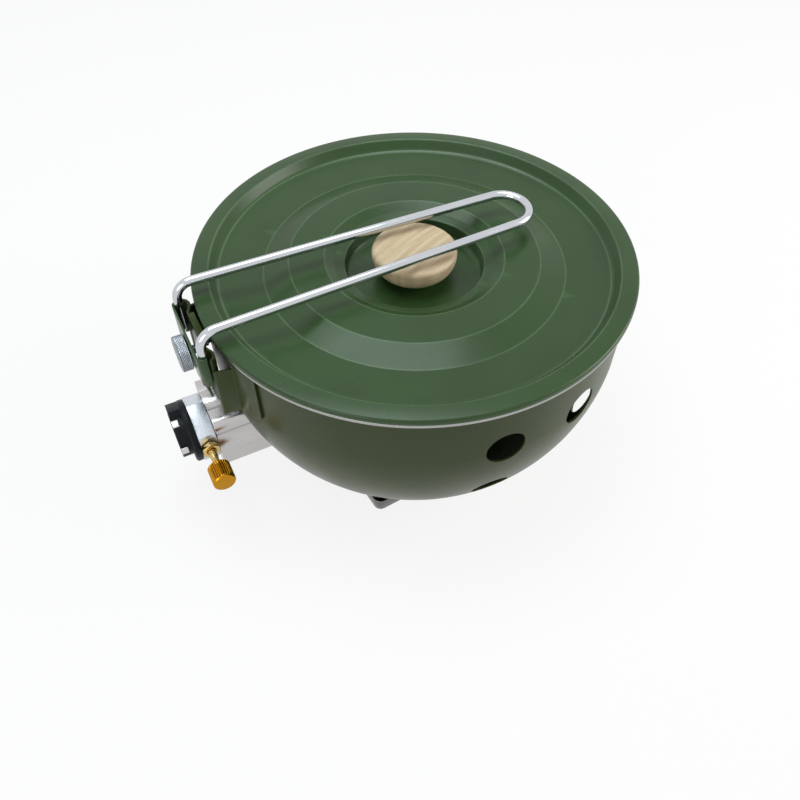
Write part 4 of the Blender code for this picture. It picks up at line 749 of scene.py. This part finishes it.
def tube(name, points, radius, sides):
    """A round bar along the points, with eased ends."""
    bm = bmesh.new()
    pts = [Vector(p) for p in points]
    ways = directions(pts)
    across = ways[0].orthogonal().normalized()
    rings = []

    def add_ring(centre, way, scale=1):
        up = way.cross(across).normalized()
        angles = [2 * pi * k / sides for k in range(sides)]
        rings.append([bm.verts.new(centre + (across * cos(a) + up * sin(a)) * radius * scale)
                      for a in angles])

    end_scale = 1 - BAR_END_EASE / radius
    add_ring(pts[0], ways[0], end_scale)
    add_ring(pts[0] + ways[0] * BAR_END_EASE, ways[0])
    for k in range(1, len(pts) - 1):
        turn = ways[k - 1].rotation_difference(ways[k])
        across = (turn @ across).normalized()
        across = (across - ways[k] * across.dot(ways[k])).normalized()
        add_ring(pts[k], ways[k])
    turn = ways[-2].rotation_difference(ways[-1])
    across = (turn @ across).normalized()
    add_ring(pts[-1] - ways[-1] * BAR_END_EASE, ways[-1])
    add_ring(pts[-1], ways[-1], end_scale)
    for one, two in zip(rings, rings[1:]):
        for k in range(sides):
            n = (k + 1) % sides
            bm.faces.new((one[k], one[n], two[n], two[k]))
    bm.faces.new(rings[0][::-1])
    bm.faces.new(rings[-1])
    mesh = as_mesh(bm, name)
    shade(mesh, EASED_SHARP)
    return mesh


# Turned and knurled pieces, in (radius, height) along their own axis

def make_thumb_nut(m):
    """A disc nut with crossed knurling on its rim and a shallow recess in its outer face."""
    rim, on_rim, edge, chamfer = 0.0095, 0.0001, 0.0005, 0.0003
    bore, recess = 0.0028, 0.0004
    rows, teeth, steps_per_tooth = 20, 42, 4
    knurl_from, knurl_slant, knurl_depth, tooth_top = 0.0006, 0.0014, 0.00038, 0.45

    def radius_at(r, z, a):
        if r <= rim - on_rim:
            return r
        turn = a * teeth / (2 * pi)
        u = (turn + z / knurl_slant) % 1
        v = (turn - z / knurl_slant) % 1
        groove = max(abs(u - 0.5), abs(v - 0.5)) * 2
        band = knurl_band(z, knurl_from, NUT_HEIGHT - knurl_from)
        return r - knurl_depth * band * max(0.0, groove - tooth_top) / (1 - tooth_top)

    profile = [(bore, 0.0), (0.0072, 0.0), (0.0086, 0.00002), (rim - chamfer, 0.0002)]
    profile += [(rim, edge + (NUT_HEIGHT - 2 * edge) * k / rows) for k in range(rows + 1)]
    profile += [(rim - chamfer, NUT_HEIGHT - 0.0002), (0.0088, NUT_HEIGHT), (0.0076, NUT_HEIGHT),
                (0.0070, NUT_HEIGHT - recess), (0.0044, NUT_HEIGHT - recess),
                (0.0040, NUT_HEIGHT), (0.0030, NUT_HEIGHT), (bore, NUT_HEIGHT - chamfer)]
    mesh = turned_mesh("thumb_fine", profile, teeth * steps_per_tooth, radius_at=radius_at,
                       placement=placed((-NUT_START, 0, STUD_HEIGHT), UP, HANDLE_SIDE),
                       sharp=THUMB_SHARP)
    link("thumb_fine", mesh, "thumb", ("thumb_nut",), m["nickel"])


def make_bolt(m):
    """The clamp bolt with its thread showing past the nut."""
    head, shank, crest, root = 0.005, 0.0024, 0.0025, 0.00215
    head_chamfer, thread_start, thread_end, point = 0.0003, 0.0002, 0.0010, 0.0008
    tip = NUT_START + NUT_HEIGHT - BOLT_TIP_INSET - BOLT_INNER
    profile = [(0, -0.0017), (head - head_chamfer, -0.0017), (head, -0.0014), (head, -0.0005),
               (head - head_chamfer, -0.0003), (shank, -0.0003)]
    z = thread_start
    while z < tip - thread_end:
        profile += [(crest, z), (root, z + THREAD_PITCH / 2)]
        z += THREAD_PITCH
    profile += [(shank, tip - point), (0.0017, tip), (0, tip)]
    mesh = turned_mesh("bolt_fine", profile, SMALL_STEPS, closed=False,
                       placement=placed((-BOLT_INNER, 0, STUD_HEIGHT), UP, HANDLE_SIDE))
    link("bolt_fine", mesh, "stove", ("clamp_bolt",), m["nickel"])


def make_flow_knob(m):
    """The brass flow knob: straight knurling, a plain chamfered end and a rounded root."""
    length, rim, on_rim, crest_inset = 0.012, 0.00625, 0.00009, 0.00002
    crest_low, crest_high = 0.0005, 0.0008
    rows, teeth, steps_per_tooth = 10, 30, 8
    knurl_low, knurl_high, knurl_depth, tooth_top, tooth_side = 0.0005, 0.0009, 0.00042, 0.35, 0.4

    def radius_at(r, z, a):
        if r <= rim - on_rim:
            return r
        band = knurl_band(z, knurl_low, length - knurl_high)
        wave = abs(((a * teeth / (2 * pi)) % 1) - 0.5) * 2
        return r - knurl_depth * band * min(1.0, max(0.0, (wave - tooth_top) / tooth_side))

    profile = [(0.0027, 0.0), (rim - 0.0009, 0.0), (rim - 0.0002, 0.00035)]
    profile += [(rim - crest_inset, crest_low + (length - crest_low - crest_high) * k / rows)
                for k in range(rows + 1)]
    profile += [(rim - 0.0001, length - 0.0006), (rim - 0.0006, length - 0.0001),
                (rim - 0.0012, length), (0.0, length)]
    place = (BLOCK_X, -FLOW_KNOB_START, GAS_HEIGHT)
    mesh = turned_mesh("flow_knob_fine", profile, teeth * steps_per_tooth, closed=False,
                       placement=placed(place, UP, FLOW_KNOB_SIDE), radius_at=radius_at,
                       sharp=FLOW_KNOB_SHARP)
    link("flow_knob_fine", mesh, "flow", ("flow_knob",), m["gold"])


def make_stem(m):
    """The valve stem, waisted between the gland and the knob."""
    profile = [(0, 0.0395), (0.0023, 0.0395), (0.0024, 0.0392), (0.0024, 0.0318),
               (0.0024, 0.0300), (0.0021, 0.0290), (0.00205, 0.0262), (0.00222, 0.0250),
               (0.0024, 0.0240), (0.0024, 0.0085), (0.0006, 0.0055), (0, 0.0055)]
    mesh = turned_mesh("stem_fine", profile, SMALL_STEPS, closed=False,
                       placement=placed((BLOCK_X, 0, GAS_HEIGHT), UP, FLOW_KNOB_SIDE))
    link("stem_fine", mesh, "flow", ("valve_stem",), m["brass"])


# Light, floor and camera

# Lamps: name, place, the point that it faces, its two sides, watts and colour
LAMPS = (
    ("key", (-0.10, 0.20, 1.10), (-0.10, 0.20, 0.1), (0.80, 0.60), 7.0, (0.86, 0.98, 1.0)),
    ("side", (1.00, -0.45, 0.60), (0, 0, 0.1), (0.7, 0.7), 8.2, (1.0, 0.975, 0.93)),
    ("left", (-0.95, -0.55, 0.50), (0, 0, 0.08), (0.6, 0.6), 2.9, (1.0, 0.99, 0.97)),
)
FILL_COLOUR = (0.97, 0.985, 1.0, 1)
FILL_STRENGTH = 0.23
WHITE = (1, 1, 1, 1)
WHITE_STRENGTH = 1.0
FLOOR_SIZE = 6
FLOOR_COLOUR = (0.93, 0.93, 0.92, 1)
FLOOR_ROUGHNESS = 0.9
FLOOR_GLOW_SHARE = 0.86

CAMERA_PLACE = (-0.1563, -0.2937, 0.3885)
CAMERA_RIGHT = (0.8938, -0.4485, 0.0004)
CAMERA_AHEAD = (0.2918, 0.5807, -0.7601)
CAMERA_LENS = 34.56
CAMERA_SENSOR = 36
CAMERA_CLIP = 0.01


def area_light(name, at, to, sides, watts, colour):
    data = bpy.data.lights.new(name, 'AREA')
    data.energy = watts
    data.color = colour
    data.shape = 'RECTANGLE'
    data.size, data.size_y = sides
    lamp = bpy.data.objects.new(name, data)
    bpy.context.scene.collection.objects.link(lamp)
    lamp.location = at
    lamp.rotation_euler = (Vector(to) - Vector(at)).to_track_quat('-Z', 'Y').to_euler()


def seen_rays(tree):
    """1 for the rays of the view, and for those that metal and glass pass on."""
    path = tree.nodes.new("ShaderNodeLightPath")
    seen = path.outputs["Is Camera Ray"]
    for kind in ("Is Glossy Ray", "Is Transmission Ray"):
        most = tree.nodes.new("ShaderNodeMath")
        most.operation = 'MAXIMUM'
        tree.links.new(seen, most.inputs[0])
        tree.links.new(path.outputs[kind], most.inputs[1])
        seen = most.outputs[0]
    return seen


def background(tree, colour, strength):
    node = tree.nodes.new("ShaderNodeBackground")
    node.inputs["Color"].default_value = colour
    node.inputs["Strength"].default_value = strength
    return node


def mix_surface(tree, factor, one, two, output):
    """Mixes two shader nodes by a factor into the output's surface."""
    mix = tree.nodes.new("ShaderNodeMixShader")
    for out, socket in zip((factor, one.outputs[0], two.outputs[0]), mix.inputs):
        tree.links.new(out, socket)
    tree.links.new(mix.outputs[0], output.inputs["Surface"])


def make_world():
    """A pale fill that lights the part, and a white that only seen rays meet."""
    world = bpy.data.worlds.new("studio")
    bpy.context.scene.world = world
    world.use_nodes = True
    tree = world.node_tree
    tree.nodes.clear()
    mix_surface(tree, seen_rays(tree), background(tree, FILL_COLOUR, FILL_STRENGTH),
                background(tree, WHITE, WHITE_STRENGTH), tree.nodes.new("ShaderNodeOutputWorld"))


def make_floor():
    """A white floor that takes the shadow, and mostly glows by itself where rays see it."""
    bpy.ops.mesh.primitive_plane_add(size=FLOOR_SIZE)
    floor = bpy.context.active_object
    floor.name = "floor"
    material = bpy.data.materials.new("floor_white")
    material.use_nodes = True
    floor.data.materials.append(material)
    tree = material.node_tree
    shader = tree.nodes["Principled BSDF"]
    shader.inputs["Base Color"].default_value = FLOOR_COLOUR
    shader.inputs["Roughness"].default_value = FLOOR_ROUGHNESS
    emission = tree.nodes.new("ShaderNodeEmission")
    emission.inputs["Strength"].default_value = WHITE_STRENGTH
    factor = tree.nodes.new("ShaderNodeMath")
    factor.operation = 'MULTIPLY'
    factor.inputs[1].default_value = FLOOR_GLOW_SHARE
    tree.links.new(seen_rays(tree), factor.inputs[0])
    mix_surface(tree, factor.outputs[0], shader, emission, tree.nodes["Material Output"])


def make_camera():
    """The camera of the photograph, from its solved place and directions."""
    right = Vector(CAMERA_RIGHT).normalized()
    ahead = Vector(CAMERA_AHEAD).normalized()
    up = right.cross(ahead).normalized()
    right = ahead.cross(up).normalized()
    data = bpy.data.cameras.new("camera")
    data.sensor_width = CAMERA_SENSOR
    data.lens = CAMERA_LENS
    data.clip_start = CAMERA_CLIP
    camera = bpy.data.objects.new("camera", data)
    bpy.context.scene.collection.objects.link(camera)
    turn = Matrix((right, up, -ahead)).transposed().to_4x4()
    turn.translation = Vector(CAMERA_PLACE)
    camera.matrix_world = turn
    bpy.context.scene.camera = camera


def build():
    m = make_materials()
    for make in (make_bowl, make_lid, make_knob, make_ring, make_wire, make_thumb_nut,
                 make_bolt, make_flow_knob, make_stem):
        make(m)
    eased("clamp_plate", 0.00025, m["lid"], body="handle")
    eased("handle_bracket", 0.0003, m["bowl"])
    # The stand tray takes the darker steel that paints its shade
    eased("stand_tray", 0.0003, m["tray"])
    eased("inlet_body", 0.0003, m["body"])
    eased("valve_block", 0.0004, m["block"])
    eased("gland_nut", 0.0004, m["brass"])
    eased("bayonet_collar", 0.0006, m["black"], segments=3)
    for index in range(4):
        eased("pot_arm_" + str(index + 1), 0.0004, m["sheet"])
    for index in range(BASE_SCREWS):
        for node in ("base_screw_", "base_nut_"):
            eased(node + str(index + 1), 0.0003, m["screw"])
    eased("burner_cap", 0.0003, m["cap"])
    eased("burner_body", 0.0005, m["cast"])
    for node in ("burner_stand", "tube_support", "mixing_tube"):
        eased(node, 0.0003, m["sheet"])
    for node in ("collar_clip_upper", "collar_clip_lower"):
        eased(node, 0.00015, m["screw"])
    for node, key in (("gas_jet", "brass"), ("inlet_probe", "brass"), ("probe_seal", "rubber"),
                      ("stem_seal", "rubber"), ("burner_screw", "screw"), ("knob_screw", "screw"),
                      ("knob_washer", "screw")):
        keep_node(node, m[key])
    make_world()
    make_floor()
    for lamp in LAMPS:
        area_light(*lamp)
    make_camera()
    bpy.context.scene.view_settings.view_transform = 'Standard'


build()
